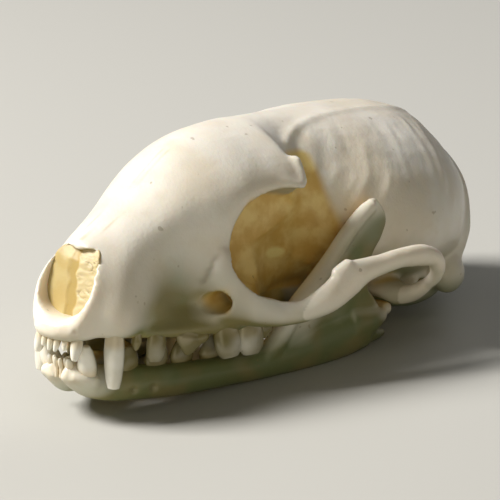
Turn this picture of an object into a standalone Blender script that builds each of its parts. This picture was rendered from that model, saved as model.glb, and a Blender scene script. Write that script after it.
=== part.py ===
"""The skull of a young pine marten with its lower jaw closed, life size, lying on the jaw.

The bones are drawn in the skull's own frame, in millimetres: x to the animal's left, y back from
the front teeth and z up from the upper tooth line. The pose then tips the nose up a little and
sets the lower border of the jaw on the ground, z = 0.
"""
import math

import bmesh
import bpy
from mathutils import Matrix, Vector

MM = 0.001

# Driving sizes of the skull
WIDTH_SCALE = 1.04
NOSE_UP = math.radians(8.6)
GAP = 0.3
FRONT_END = 0.0
BACK_END = 76.0
SECTION_STEP = 1.3
RING_STEPS = 6
# Where the skull frame stands on the ground: sideways, back and up
PLACE = (0.0, -39.0, 12.05)
JAW_SHIFT = -0.2
FLOOR_BLOCK = 200.0
MIDLINE_BLOCK = (10.0, 30.0, 30.0)
MIDLINE_CENTRE = (8.0, -6.0)
CREASE_ANGLE = 40
# Long lines of the cranium: (distance back from the front teeth, height or half-width)
ROOF = ((0, 9.6), (4.3, 11.7), (9, 14.3), (13, 17.1), (17, 20.4), (21, 22.9), (27, 24.9), (36, 25.9),
        (44, 26.3), (52, 26.6), (60, 26.6), (67, 25.7), (72, 23.4), (76, 20.0))
KEEL = ((-1, 0.6), (6, 0.8), (15, 1.8), (25, 2.2), (38, 2.6), (42, 3.8), (50, 3.0),
        (60, 2.6), (70, 3.0), (75, 4.4), (77, 5.5))
LOW_HALF_WIDTH = ((-1, 1.5), (1, 3.2), (3, 4.2), (6.5, 6.8), (10, 6.7), (14, 7.4), (18, 8.8),
                  (22, 10.2), (26, 10.9), (29, 10.2), (31.5, 7.5), (35, 5.2), (42, 4.6),
                  (48, 7.0), (53, 10), (58, 12), (64, 12.2), (70, 9.8), (74, 7.8), (77, 6.5))
LOW_HEIGHT = ((-1, 0.8), (10, 0.3), (31, 0.8), (35, 2.2), (42, 3.6), (50, 3.2), (58, 3.8),
              (64, 4.4), (72, 5.0), (77, 6.5))
MID_HALF_WIDTH = ((-1, 3.2), (1, 4.2), (3, 5.05), (6.5, 7.0), (10, 6.9), (14, 7.3), (18, 8.4), (21, 9.8),
                  (23, 9.4), (26, 7.6), (30, 6.6), (34, 6.5), (38, 7.2), (42, 10.2), (46, 13.6),
                  (52, 16.3), (58, 17.2), (64, 16.0), (69, 13.4), (73, 10.6), (77, 8))
MID_HEIGHT = ((-1, 5.0), (6, 5.5), (14, 6.5), (20, 7.5), (30, 10), (38, 10.4), (46, 9.8),
              (58, 9.5), (69, 9.6), (77, 10.5))
HIGH_HALF_WIDTH = ((-1, 3.2), (4.5, 3.7), (8, 4.6), (12, 5.4), (16, 6.4), (20, 7.9), (24, 9.4),
                   (29, 10.3), (32, 11.0), (33.6, 11.2), (35.4, 8.9), (38, 8.0), (41, 9.2), (46, 12.0),
                   (52, 13.8), (58, 14.3), (64, 13.4), (69, 11.4), (73, 9.0), (77, 6.0))
HIGH_DROP = ((-1, 2.2), (8, 2.4), (12, 3.0), (16, 3.8), (20, 4.9), (24, 5.8), (29, 6.2), (33.6, 6.3),
             (35.4, 6.6), (38, 7.0), (44, 7.2), (52, 7.6), (60, 8.0), (70, 7.0), (77, 5.6))
# Fineness of the fused bone and of the finished faces
CRANIUM_VOXEL = 0.55
SMALL_VOXEL = 0.36
CRANIUM_FACES = 4400
ARCH_FACES = 640
BULLA_FACES = 420
JAW_FACES = 1150
# Masses added to the core, as x, y, z, half-width and half-depth
CANINE_ROOT = [(5.7, 5.9, 1.5, 1.9, 1.9), (5.9, 7.4, 3.2, 1.8, 2.1), (5.6, 9.6, 6.2, 1.3, 1.7),
               (4.9, 11.8, 8.8, 0.7, 1.0)]
PREMAXILLA = [(-4.2, 3.8, 1.3, 1.0, 1.3), (-2.7, 1.7, 1.0, 1.15, 1.45), (0, 0.9, 0.9, 1.2, 1.35),
              (2.7, 1.7, 1.0, 1.15, 1.45), (4.2, 3.8, 1.3, 1.0, 1.3)]
ALVEOLUS = [(5.4, 8.2, 0.9, 1.1, 1.1), (6.9, 12.4, 0.7, 1.3, 1.2), (8.2, 17.2, 0.7, 1.4, 1.2),
            (9.7, 22.2, 0.8, 1.5, 1.2), (10.2, 27.0, 1.0, 1.4, 1.2)]
CHEEK_ROOT = [(8.2, 19.6, 7.0, 2.2, 4.8), (10.6, 22.0, 5.0, 2.1, 4.2), (12.6, 24.6, 3.4, 1.9, 2.8),
              (14.3, 26.8, 2.6, 1.6, 1.9), (15.4, 28.2, 2.5, 1.35, 1.6)]
BROW_PROCESS = [(7.6, 30.6, 19.8, 2.6, 1.6), (10.2, 32.2, 18.9, 1.9, 1.1),
                (12.4, 33.9, 18.1, 0.75, 0.7)]
TEMPORAL_LINE = ((8.4, 35.2), (7.0, 36.4), (5.7, 37.6), (4.6, 39.2), (4.0, 41.5), (3.5, 45), (3.2, 50),
                 (2.9, 55), (2.9, 60), (2.6, 65), (1.6, 69), (0.6, 71.5))
TEMPORAL_START = [(12.2, 34.1, 18.4, 0.65, 0.6), (11.2, 34.4, 20.1, 0.65, 0.6),
                  (9.8, 34.7, 21.7, 0.65, 0.55)]
TEMPORAL_SIZE = (0.75, 0.45)
TEMPORAL_SUNK = 0.22
JAW_SOCKET = [(9.5, 53.8, 3.5, 3.2, 2.0), (13.5, 52.6, 2.9, 2.8, 1.5), (17.6, 51.3, 3.0, 2.0, 1.25),
              (19.3, 51.0, 3.7, 1.5, 1.15), (20.6, 50.9, 4.6, 1.1, 1.05), (21.6, 50.8, 5.4, 0.9, 0.9)]
SOCKET_LIP = [(19.2, 50.6, 3.2, 0.75, 0.9), (17.2, 50.2, 2.5, 0.7, 1.0), (15.0, 50.2, 2.6, 0.7, 0.9)]
NECK_CREST = [(0, 74.3, 20.3, 1.2, 1.2), (5.6, 73.7, 18.4, 1.1, 1.2), (10.4, 71.9, 15.0, 1.1, 1.2),
              (13.9, 68.6, 10.2, 1.2, 1.3), (15.3, 65.0, 5.8, 1.1, 1.2)]
PALATE_WING = [(4.4, 35.0, 2.4, 1.1, 1.6), (4.2, 41.0, 2.2, 1.0, 2.0), (4.2, 46.0, 2.6, 0.8, 1.8)]
PAROCCIPITAL = [(10.2, 69.8, 5.0, 2.8, 2.2), (10.6, 69.5, 2.8, 2.0, 1.5), (10.8, 69.0, 1.4, 1.0, 0.8)]
MASTOID = ((15.2, 64.2, 4.0), (2.1, 2.9, 2.8))
CONDYLE = ((5.7, 75.2, 5.8), (2.7, 2.4, 3.6))
# Hollows of the cranium
NOSE_LOW = (0, 0.9, 2.2)
NOSE_HIGH = (0, 4.4, 11.5)
NOSE_BLOCK = (24.0, 12.0, 14.4)
# Left half of the nose opening's rim, from the bottom up: sideways and along the face
NOSE_RIM = ((0.0, 0.35), (1.5, 0.5), (2.9, 1.1), (3.8, 2.1), (4.2, 3.4), (4.22, 4.8), (4.08, 6.2),
            (3.7, 7.6), (3.1, 8.8), (2.5, 9.4), (1.7, 9.5), (0.9, 9.4), (0.0, 9.15))
NOSE_MIDDLE = 5.2
# Depth behind the face and scale of the nose cavity's sections
NOSE_DEPTHS = ((-2.0, 1.03), (0.0, 1.0), (3.0, 0.97), (6.0, 0.88), (8.5, 0.62), (9.5, 0.3))
NOSE_BACKWARDS = (0, 0.997, -0.08)
ORBIT = [(7.2, 32.0, 11.2, 6.6, 5.6), (10.0, 31.4, 11.2, 8.9, 6.7), (12.5, 31.6, 11.2, 9.6, 7.1),
         (17.0, 32.4, 11.2, 10.2, 7.4), (22.0, 33.0, 11.2, 10.6, 7.6)]
ORBIT_CORNER = [(9.5, 26.0, 9.0, 4.4, 3.8), (12.0, 26.6, 8.9, 5.0, 4.2), (17.0, 27.5, 8.6, 5.4, 4.4)]
INFRAORBITAL = [(12.4, 15.8, 3.4, 1.6, 1.6), (10.8, 19.6, 4.0, 1.6, 1.5), (10.0, 25.5, 5.4, 1.5, 1.4)]
SOCKET_HOLLOW = ((13.6, 51.9, 0.4), (4.4, 1.5, 1.75))
FORAMEN_MAGNUM = ((0, 77.0, 8.6), (4.7, 8.0, 4.3))
CHOANA = ((0, 44.0, 0.6), (2.9, 8.5, 4.2))

# Ear capsule
BULLA = ((9.0, 61.2, 3.2), (4.8, 7.9, 4.6), (0, 0, -14))
EAR_NECK = [(10.0, 59.2, 2.6, 2.6, 2.3), (12.8, 59.2, 2.7, 2.2, 2.0), (14.6, 59.2, 2.8, 1.9, 1.8)]
EAR_HOLE = [(11.4, 59.2, 2.4, 1.0, 1.0), (16.2, 59.2, 2.7, 1.3, 1.25)]

# Cheek arch
ARCH = [(14.9, 27.8, 2.5, 1.5, 1.65), (16.6, 30.2, 2.9, 1.3, 1.45), (18.4, 33.2, 4.7, 1.2, 2.0),
        (19.4, 36.0, 7.1, 1.15, 2.35), (20.1, 38.0, 8.1, 1.15, 1.75), (20.8, 40.0, 8.7, 1.15, 1.45),
        (21.9, 43.0, 9.5, 1.1, 1.4), (22.9, 46.2, 9.8, 1.1, 1.5), (23.4, 48.6, 9.4, 1.1, 1.25),
        (23.4, 49.9, 7.9, 1.05, 1.05), (22.7, 50.6, 6.5, 0.95, 0.95), (21.6, 50.8, 5.4, 0.9, 0.9)]
ARCH_SPUR = [(18.9, 34.7, 7.2, 1.1, 1.9), (19.2, 35.5, 8.6, 0.95, 1.3), (19.3, 36.0, 9.5, 0.75, 0.7)]
# Lower jaw
JAW_BODY = [(0.6, 2.5, -4.6, 1.0, 1.1), (1.3, 3.6, -5.0, 1.6, 1.7), (2.1, 6.2, -6.1, 1.9, 2.2),
            (3.4, 9.4, -6.5, 2.2, 2.4), (4.9, 13.0, -6.6, 2.1, 2.3), (6.5, 18.0, -6.6, 1.9, 2.2),
            (8.3, 25.0, -6.1, 1.8, 2.1), (10.0, 31.0, -5.4, 1.8, 2.2), (11.9, 37.0, -3.8, 1.7, 3.0),
            (13.3, 43.0, -2.7, 1.5, 3.2), (14.0, 48.0, -2.0, 1.3, 2.6)]
RAMUS_LOW = -5.0
RAMUS_TOP = 16.3
RAMUS_SLICES = 22
RAMUS_SIDES = 22
RAMUS_FLATNESS = 0.6
RAMUS_SPREAD = 0.12
RAMUS_FRONT = ((-5, 31), (-2, 32.2), (2, 33.8), (7, 37.4), (12, 40.9), (15, 43.4), (16.3, 44.9))
RAMUS_BACK = ((-5, 46), (-2, 49.6), (0.5, 50.2), (2, 49.0), (3.7, 47.2), (5.5, 46.5), (8.3, 46.8),
              (11, 48.1), (12.6, 48.6), (14.3, 48.0), (15.5, 46.8), (16.3, 45.9))
RAMUS_CENTRE = ((-5, 11.1), (0, 11.9), (6, 13.3), (12, 14.5), (16.8, 15.3))
RAMUS_HALF_THICKNESS = ((-5, 1.2), (2, 0.9), (10, 0.65), (16.8, 0.45))
RAMUS_EDGE = [(11.0, 31.9, -3.0, 1.5, 1.4), (12.3, 34.4, 2.0, 1.4, 1.15), (13.7, 38.2, 7.2, 1.25, 1.05),
              (14.8, 41.3, 12.0, 1.15, 1.05), (15.4, 43.7, 14.6, 1.05, 1.05),
              (15.6, 45.2, 15.5, 0.9, 0.9)]
JAW_CANINE_ROOT = [(1.6, 3.0, -5.0, 1.3, 0.9), (2.8, 4.6, -5.6, 1.7, 1.25), (3.0, 6.2, -6.5, 1.3, 1.6),
                   (3.6, 8.2, -6.8, 1.5, 1.8), (4.7, 11.5, -6.7, 1.6, 2.1)]
JAW_CONDYLE = [(10.9, 52.0, 0.1, 0.9, 0.95), (12.9, 51.9, 0.2, 1.05, 1.05), (14.8, 51.6, 0.4, 0.9, 0.9)]
CONDYLE_NECK = [(13.9, 44.5, -1.6, 1.4, 2.6), (14.2, 48.4, -1.1, 1.4, 1.8),
                (13.9, 50.9, -0.4, 1.3, 1.2)]
JAW_ANGLE = [(13.7, 46.0, -3.0, 1.3, 1.8), (13.4, 50.4, -3.3, 1.0, 1.0), (13.0, 53.1, -3.4, 0.6, 0.5)]
MUSCLE_HOLLOW = ((17.5, 42.4, 0.6), (2.6, 6.8, 5.2), (0, 0, -8))
# Crown shapes: place of the widest belt, width near the tip and width at the tip
PEG = (0.35, 0.75, 0.4)
UPPER_FANG = (0.3, 0.82, 0.58)
LOWER_FANG = (0.3, 0.68, 0.34)
CONE = (0.25, 0.52, 0.16)
FULL_CONE = (0.3, 0.7, 0.3)
LOW_MOUND = (0.4, 0.75, 0.35)
BLADE = (0.3, 0.9, 0.6)

# Cusps: name, base, half-widths across and along the row, tip and crown shape
ROOT_DEPTH = 1.6
ROOT_WIDTHS = (0.7, 0.75)
NECK_WIDTH = 0.95
SHOULDER_AT = 0.75
CUSP_SIDES = 8
UPPER_CUSPS = [
    ("incisor_1", (0.6, 1.2, 0.0), (0.42, 0.5), (0.5, 0.7, -1.9), PEG),
    ("incisor_2", (1.7, 1.5, 0.0), (0.5, 0.55), (1.8, 1.0, -1.6), PEG),
    ("incisor_3", (3.0, 2.1, 0.0), (0.75, 0.85), (3.2, 1.5, -2.7), PEG),
    ("canine", (5.8, 5.9, 0.0), (1.26, 1.26), (6.25, 5.8, -6.2), UPPER_FANG),
    ("premolar_1", (6.5, 9.3, -0.3), (0.65, 0.8), (6.6, 9.2, -1.7), CONE),
    ("premolar_2", (6.9, 12.7, -0.3), (0.85, 1.7), (7.1, 12.5, -3.4), BLADE),
    ("premolar_3", (8.4, 17.4, -0.3), (1.1, 2.4), (8.7, 16.8, -2.8), CONE),
    ("premolar_3_heel", (8.8, 19.0, -0.2), (1.0, 1.4), (9.0, 19.0, -1.5), LOW_MOUND),
    ("carnassial_front", (10.1, 22.6, -0.2), (1.35, 2.3), (10.9, 22.9, -3.4), BLADE),
    ("carnassial_back", (10.8, 26.6, 0.0), (1.15, 2.4), (11.3, 26.7, -3.4), BLADE),
    ("carnassial_inner", (8.3, 20.2, 0.2), (1.1, 1.2), (8.1, 20.1, -1.4), CONE),
    ("molar_outer", (10.1, 29.6, 0.3), (1.5, 1.4), (10.7, 29.6, -1.8), LOW_MOUND),
    ("molar_inner", (6.9, 29.4, 0.5), (1.8, 2.0), (6.7, 29.5, -0.9), LOW_MOUND),
]
LOWER_CUSPS = [
    ("incisor_1", (0.4, 2.6, -4.2), (0.36, 0.45), (0.4, 2.0, -3.0), PEG),
    ("incisor_2", (0.95, 3.1, -4.2), (0.42, 0.5), (0.95, 2.4, -2.9), PEG),
    ("incisor_3", (1.55, 3.0, -4.3), (0.55, 0.55), (1.65, 2.2, -2.9), PEG),
    ("canine", (2.85, 4.7, -5.0), (1.4, 1.25), (3.85, 3.1, -0.9), LOWER_FANG),
    ("premolar_1", (4.0, 7.9, -4.6), (0.55, 0.7), (4.0, 7.8, -3.8), CONE),
    ("premolar_2", (4.5, 10.6, -4.6), (0.8, 1.7), (4.6, 10.4, -1.7), FULL_CONE),
    ("premolar_3", (5.3, 15.0, -4.5), (0.8, 2.1), (5.4, 14.9, -1.2), FULL_CONE),
    ("premolar_4", (6.0, 19.2, -4.4), (0.9, 2.1), (6.1, 19.0, -1.2), FULL_CONE),
    ("carnassial_front", (7.0, 23.6, -4.1), (1.0, 1.9), (7.1, 23.5, -1.3), CONE),
    ("carnassial_back", (7.5, 26.4, -3.9), (1.0, 1.9), (7.6, 26.3, -1.1), CONE),
    ("carnassial_heel", (8.2, 29.0, -3.7), (0.9, 1.3), (8.2, 29.0, -2.7), LOW_MOUND),
    ("molar_2", (9.1, 31.4, -3.3), (0.8, 0.9), (9.0, 31.4, -2.4), LOW_MOUND),
]

# Finish of dry, bleached bone
ROUGHNESS = 0.5
BONE_COLOURS = {
    "cranium": (0.80, 0.74, 0.62, 1), "zygomatic_arch": (0.82, 0.77, 0.66, 1),
    "bulla": (0.74, 0.68, 0.54, 1), "mandible": (0.78, 0.74, 0.62, 1),
}


def line(knots):
    """Return a smooth function through the knots that never swings past them."""
    xs = [k[0] for k in knots]
    vs = [k[1] for k in knots]
    slopes = [(vs[i + 1] - vs[i]) / (xs[i + 1] - xs[i]) for i in range(len(xs) - 1)]
    ends = [slopes[0]]
    for before, after in zip(slopes, slopes[1:]):
        turns = before * after <= 0
        ends.append(0.0 if turns else 2 * before * after / (before + after))
    ends.append(slopes[-1])

    def value(x):
        x = min(max(x, xs[0]), xs[-1])
        i = 0
        while i < len(xs) - 2 and x > xs[i + 1]:
            i += 1
        h = xs[i + 1] - xs[i]
        t = (x - xs[i]) / h
        rise = (3 - 2 * t) * t * t
        bend = t * (1 - t)
        return (vs[i] * (1 - rise) + vs[i + 1] * rise
                + h * bend * (ends[i] * (1 - t) - ends[i + 1] * t))

    return value


def smooth_points(points, per_span, closed=False):
    """Return points on a smooth curve through the given vectors, even in spacing by chord."""
    count = len(points)
    spans = count if closed else count - 1
    out = []
    for i in range(spans):
        p1 = points[i]
        p2 = points[(i + 1) % count]
        p0 = points[i - 1] if closed or i else p1 - (p2 - p1)
        p3 = points[(i + 2) % count] if closed or i + 2 < count else p2 + (p2 - p1)
        d0, d1, d2 = ((b - a)[:3] for a, b in ((p0, p1), (p1, p2), (p2, p3)))
        d0, d1, d2 = (math.sqrt(sum(c * c for c in d)) + 1e-9 for d in (d0, d1, d2))
        m1 = (p2 - p0) / (d0 + d1) * d1
        m2 = (p3 - p1) / (d1 + d2) * d1
        for k in range(per_span):
            t = k / per_span
            rise = (3 - 2 * t) * t * t
            out.append(p1 * (1 - rise) + p2 * rise + (m1 * (1 - t) - m2 * t) * t * (1 - t))
    if not closed:
        out.append(points[-1].copy())
    return out


def new_object(name, mesh, collection):
    """Link a mesh into a collection as a named object."""
    obj = bpy.data.objects.new(name, mesh)
    collection.objects.link(obj)
    return obj


def loft(name, rings, collection):
    """Skin a row of rings with equal counts of points and close both ends to their middles."""
    bm = bmesh.new()
    rows = [[bm.verts.new(Vector(p) * MM) for p in ring] for ring in rings]
    for near, far in zip(rows, rows[1:]):
        for i in range(len(near)):
            j = (i + 1) % len(near)
            bm.faces.new((near[i], near[j], far[j], far[i]))
    for row in (rows[0], rows[-1]):
        middle = bm.verts.new(sum((v.co for v in row), Vector()) / len(row))
        for i in range(len(row)):
            bm.faces.new((row[i], row[(i + 1) % len(row)], middle))
    bmesh.ops.recalc_face_normals(bm, faces=bm.faces)
    mesh = bpy.data.meshes.new(name)
    bm.to_mesh(mesh)
    bm.free()
    return new_object(name, mesh, collection)


def tube(name, stations, collection, aim=(0, 0, 1), sides=16, per_span=4):
    """Make a closed tube through stations of x, y, z, half-width and half-depth along aim."""
    path = smooth_points([Vector(s) for s in stations], per_span)
    rings = []
    for i, p in enumerate(path):
        ahead = path[min(i + 1, len(path) - 1)]
        behind = path[max(i - 1, 0)]
        along = Vector((ahead - behind)[:3]).normalized()
        up = Vector(aim) - along * along.dot(Vector(aim))
        up.normalize()
        side = along.cross(up)
        centre = Vector(p[:3])
        ring = []
        for k in range(sides):
            turn = 2 * math.pi * k / sides
            ring.append(centre + side * (p[3] * math.cos(turn)) + up * (p[4] * math.sin(turn)))
        rings.append(ring)
    return loft(name, rings, collection)


def ball(name, centre, radii, collection, turn=(0, 0, 0), segments=28, rings=18):
    """Make an ellipsoid of given radii, turned by angles in degrees about x, y and z."""
    bpy.ops.mesh.primitive_uv_sphere_add(segments=segments, ring_count=rings, radius=1)
    obj = bpy.context.object
    obj.name = name
    for owner in list(obj.users_collection):
        owner.objects.unlink(obj)
    collection.objects.link(obj)
    turned = Matrix.Identity(4)
    for axis, angle in zip("XYZ", turn):
        turned = Matrix.Rotation(math.radians(angle), 4, axis) @ turned
    size = Matrix.Diagonal((*(r * MM for r in radii), 1))
    obj.data.transform(Matrix.Translation(Vector(centre) * MM) @ turned @ size)
    return obj


def evaluated(obj):
    """Replace an object's mesh by what its modifiers make of it."""
    graph = bpy.context.evaluated_depsgraph_get()
    graph.update()
    mesh = bpy.data.meshes.new_from_object(obj.evaluated_get(graph))
    old = obj.data
    obj.modifiers.clear()
    obj.data = mesh
    mesh.name = obj.name
    bpy.data.meshes.remove(old)


def remove(objects):
    """Delete helper objects that have served."""
    for obj in list(objects):
        bpy.data.objects.remove(obj)


def keep_largest(obj):
    """Keep only the largest closed surface of an object, as triangles."""
    bm = bmesh.new()
    bm.from_mesh(obj.data)
    bmesh.ops.triangulate(bm, faces=bm.faces)
    bmesh.ops.dissolve_degenerate(bm, edges=bm.edges, dist=1e-7)
    bm.verts.ensure_lookup_table()
    seen = set()
    groups = []
    for start in bm.verts:
        if start in seen:
            continue
        seen.add(start)
        group = [start]
        for vert in group:
            for edge in vert.link_edges:
                other = edge.other_vert(vert)
                if other not in seen:
                    seen.add(other)
                    group.append(other)
        groups.append(group)
    groups.sort(key=lambda g: extent(g))
    for group in groups[:-1]:
        bmesh.ops.delete(bm, geom=group, context="VERTS")
    bmesh.ops.triangulate(bm, faces=bm.faces)
    bm.to_mesh(obj.data)
    bm.free()


def extent(verts):
    """Return the length of the box round some vertices."""
    low = [min(v.co[i] for v in verts) for i in range(3)]
    high = [max(v.co[i] for v in verts) for i in range(3)]
    return math.dist(low, high)


def fuse(name, pieces, voxel, collection, passes=4, strength=0.5):
    """Melt overlapping closed pieces into one rounded solid."""
    bm = bmesh.new()
    for piece in pieces:
        bm.from_mesh(piece.data)
    mesh = bpy.data.meshes.new(name)
    bm.to_mesh(mesh)
    bm.free()
    remove(pieces)
    obj = new_object(name, mesh, collection)
    remelt(obj, voxel, passes, strength)
    return obj


def remelt(obj, voxel, passes=3, strength=0.5):
    """Rebuild a closed solid on a fine grid and soften its edges like grown bone."""
    melt = obj.modifiers.new("melt", "REMESH")
    melt.mode = "VOXEL"
    melt.voxel_size = voxel * MM
    if passes:
        soften = obj.modifiers.new("soften", "SMOOTH")
        soften.factor = strength
        soften.iterations = passes
    evaluated(obj)


def thin_out(obj, faces):
    """Bring a fine solid down to a number of triangles."""
    keep_largest(obj)
    fewer = obj.modifiers.new("fewer", "DECIMATE")
    fewer.ratio = min(1.0, faces / len(obj.data.polygons))
    evaluated(obj)
    keep_largest(obj)


def boolean(obj, others, operation, solver="EXACT"):
    """Cut or join closed solids with an object and use them up."""
    group = bpy.data.collections.new("operands")
    for other in others:
        group.objects.link(other)
    bpy.context.scene.collection.children.link(group)
    join = obj.modifiers.new(operation.lower(), "BOOLEAN")
    join.operation = operation
    join.operand_type = "COLLECTION"
    join.collection = group
    join.solver = solver
    evaluated(obj)
    remove(others)
    bpy.data.collections.remove(group)


def mirrored(obj, name, collection):
    """Return the other side's copy of a solid."""
    mesh = obj.data.copy()
    mesh.name = name
    mesh.transform(Matrix.Diagonal((-1, 1, 1, 1)))
    mesh.flip_normals()
    return new_object(name, mesh, collection)


def grown(obj, margin, collection):
    """Return a copy of a solid grown by a margin all round."""
    copy = new_object("grown", obj.data.copy(), collection)
    swell = copy.modifiers.new("swell", "DISPLACE")
    swell.strength = margin * MM
    swell.mid_level = 0.0
    evaluated(copy)
    return copy


def both_sides(stations_or_point):
    """Return a place list and its mirror image over the midline."""
    flipped = [(-s[0], *s[1:]) for s in stations_or_point]
    return stations_or_point, flipped


class Skull:
    """Builds each bone in the skull's frame."""

    def __init__(self, parts, helpers):
        self.parts = parts
        self.helpers = helpers

    def core_ring(self, y):
        """Return the outline of the core's cross-section at a distance back."""
        roof = line(ROOF)(y)
        side = [(line(LOW_HALF_WIDTH)(y) * WIDTH_SCALE, line(LOW_HEIGHT)(y)),
                (line(MID_HALF_WIDTH)(y) * WIDTH_SCALE, line(MID_HEIGHT)(y)),
                (line(HIGH_HALF_WIDTH)(y) * WIDTH_SCALE, roof - line(HIGH_DROP)(y))]
        outline = [(0, line(KEEL)(y)), *side, (0, roof), *[(-x, z) for x, z in side[::-1]]]
        return smooth_points([Vector((x, y, z)) for x, z in outline], RING_STEPS, True)

    def core(self):
        """Loft the whole cranium from its long lines."""
        count = round((BACK_END - FRONT_END) / SECTION_STEP)
        rings = [self.core_ring(FRONT_END + (BACK_END - FRONT_END) * i / count)
                 for i in range(count + 1)]
        return loft("core", rings, self.helpers)

    def paired_tubes(self, name, stations, **options):
        """Make a tube on each side."""
        return [tube(f"{name}_{i}", s, self.helpers, **options)
                for i, s in enumerate(both_sides(stations))]

    def paired_balls(self, name, centre, radii, turn=(0, 0, 0)):
        """Make an ellipsoid on each side."""
        flipped = (turn[0], -turn[1], -turn[2])
        return [ball(f"{name}_left", centre, radii, self.helpers, turn),
                ball(f"{name}_right", (-centre[0], *centre[1:]), radii, self.helpers, flipped)]

    def cranium(self):
        """Build the face and braincase in one, with the upper teeth."""
        core = self.core()
        boolean(core, [self.nose_slice()], "DIFFERENCE")
        pieces = [core]
        pieces += self.paired_tubes("canine_root", CANINE_ROOT)
        pieces += self.paired_tubes("alveolus", ALVEOLUS)
        pieces += self.paired_tubes("cheek_root", CHEEK_ROOT)
        pieces += self.paired_tubes("brow_process", BROW_PROCESS, sides=12)
        pieces += self.paired_tubes("temporal_line", self.temporal_line(), sides=10)
        pieces += self.paired_tubes("jaw_socket", JAW_SOCKET)
        pieces += self.paired_tubes("socket_lip", SOCKET_LIP)
        pieces += self.paired_tubes("neck_crest", NECK_CREST, sides=12)
        pieces += self.paired_tubes("palate_wing", PALATE_WING, sides=12)
        pieces += self.paired_tubes("paroccipital", PAROCCIPITAL, sides=12)
        pieces += self.paired_balls("mastoid", *MASTOID)
        pieces += self.paired_balls("condyle", *CONDYLE)
        pieces.append(tube("premaxilla", PREMAXILLA, self.helpers))
        bone = fuse("cranium", pieces, CRANIUM_VOXEL, self.parts)

        cutters = [self.nose_cavity()]
        cutters += self.paired_tubes("orbit", ORBIT, sides=32)
        cutters += self.paired_tubes("orbit_corner", ORBIT_CORNER, sides=24)
        cutters += self.paired_tubes("infraorbital", INFRAORBITAL, sides=12)
        cutters += self.paired_balls("socket_hollow", *SOCKET_HOLLOW)
        cutters.append(ball("foramen_magnum", *FORAMEN_MAGNUM, self.helpers))
        cutters.append(ball("choana", *CHOANA, self.helpers))
        boolean(bone, cutters, "DIFFERENCE")
        remelt(bone, CRANIUM_VOXEL, 3)
        thin_out(bone, CRANIUM_FACES)
        return bone

    def seat(self, bone, neighbours):
        """Cut the room of the neighbouring bones and their gap out of the cranium."""
        boolean(bone, [grown(n, GAP, self.helpers) for n in neighbours], "DIFFERENCE")
        keep_largest(bone)

    def plant_upper_teeth(self, bone):
        """Join the upper teeth to the cranium."""
        teeth = [t for side in (1, -1) for t in self.upper_teeth(side)]
        boolean(bone, teeth, "UNION", "MANIFOLD")
        keep_largest(bone)

    def temporal_line(self):
        """Lay the low ridge over the braincase on the core's own surface."""
        half_width, half_height = TEMPORAL_SIZE
        return TEMPORAL_START + [
            (x, y, self.core_top(x, y) - TEMPORAL_SUNK, half_width, half_height)
            for x, y in TEMPORAL_LINE]

    def core_top(self, x, y):
        """Return the height of the core's upper surface above a point."""
        ring = self.core_ring(y)
        upper = [p for p in ring if p.z > line(MID_HEIGHT)(y) and p.x >= 0]
        upper.sort(key=lambda p: p.x)
        for near, far in zip(upper, upper[1:]):
            if near.x <= x <= far.x:
                return near.z + (far.z - near.z) * (x - near.x) / (far.x - near.x)
        return upper[-1].z

    def nose_slice(self):
        """Make the slanted block that opens the front of the nose."""
        low, high = Vector(NOSE_LOW), Vector(NOSE_HIGH)
        along = (high - low).normalized()
        ahead = Vector((0, -along.z, along.y))
        bpy.ops.mesh.primitive_cube_add(size=1)
        block = bpy.context.object
        block.name = "nose_slice"
        frame = Matrix((Vector((1, 0, 0)), -ahead, along)).transposed().to_4x4()
        centre = (low + high) / 2 + ahead * (NOSE_BLOCK[1] / 2)
        size = Matrix.Diagonal((*NOSE_BLOCK, 1))
        block.data.transform(Matrix.Scale(MM, 4) @ Matrix.Translation(centre) @ frame @ size)
        return block

    def nose_cavity(self):
        """Loft the hollow of the nose from the outline of its rim."""
        low = Vector(NOSE_LOW)
        along = (Vector(NOSE_HIGH) - low).normalized()
        rim = [Vector((x, a, 0)) for x, a in NOSE_RIM]
        rim += [Vector((-x, a, 0)) for x, a in NOSE_RIM[-2:0:-1]]
        outline = smooth_points(rim, 2, True)
        rings = []
        for depth, scale in NOSE_DEPTHS:
            behind = Vector(NOSE_BACKWARDS) * depth
            rings.append([low + Vector((p.x * scale, 0, 0)) + behind
                          + along * (NOSE_MIDDLE + (p.y - NOSE_MIDDLE) * scale) for p in outline])
        return loft("nose_cavity", rings, self.helpers)

    def bulla(self):
        """Build the left ear capsule with its ear opening."""
        shape = ball("capsule", *BULLA[:2], self.helpers, BULLA[2])
        neck = tube("ear_neck", EAR_NECK, self.helpers, sides=14)
        bone = fuse("bulla_left", [shape, neck], SMALL_VOXEL, self.parts)
        hole = tube("ear_hole", EAR_HOLE, self.helpers, sides=14)
        boolean(bone, [hole], "DIFFERENCE")
        thin_out(bone, BULLA_FACES)
        return bone

    def arch(self):
        """Build the left cheek bone and its bridge back to the braincase."""
        bow = tube("bow", ARCH, self.helpers)
        spur = tube("spur", ARCH_SPUR, self.helpers, sides=12)
        bone = fuse("zygomatic_arch_left", [bow, spur], SMALL_VOXEL, self.parts, passes=2)
        thin_out(bone, ARCH_FACES)
        return bone

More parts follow.
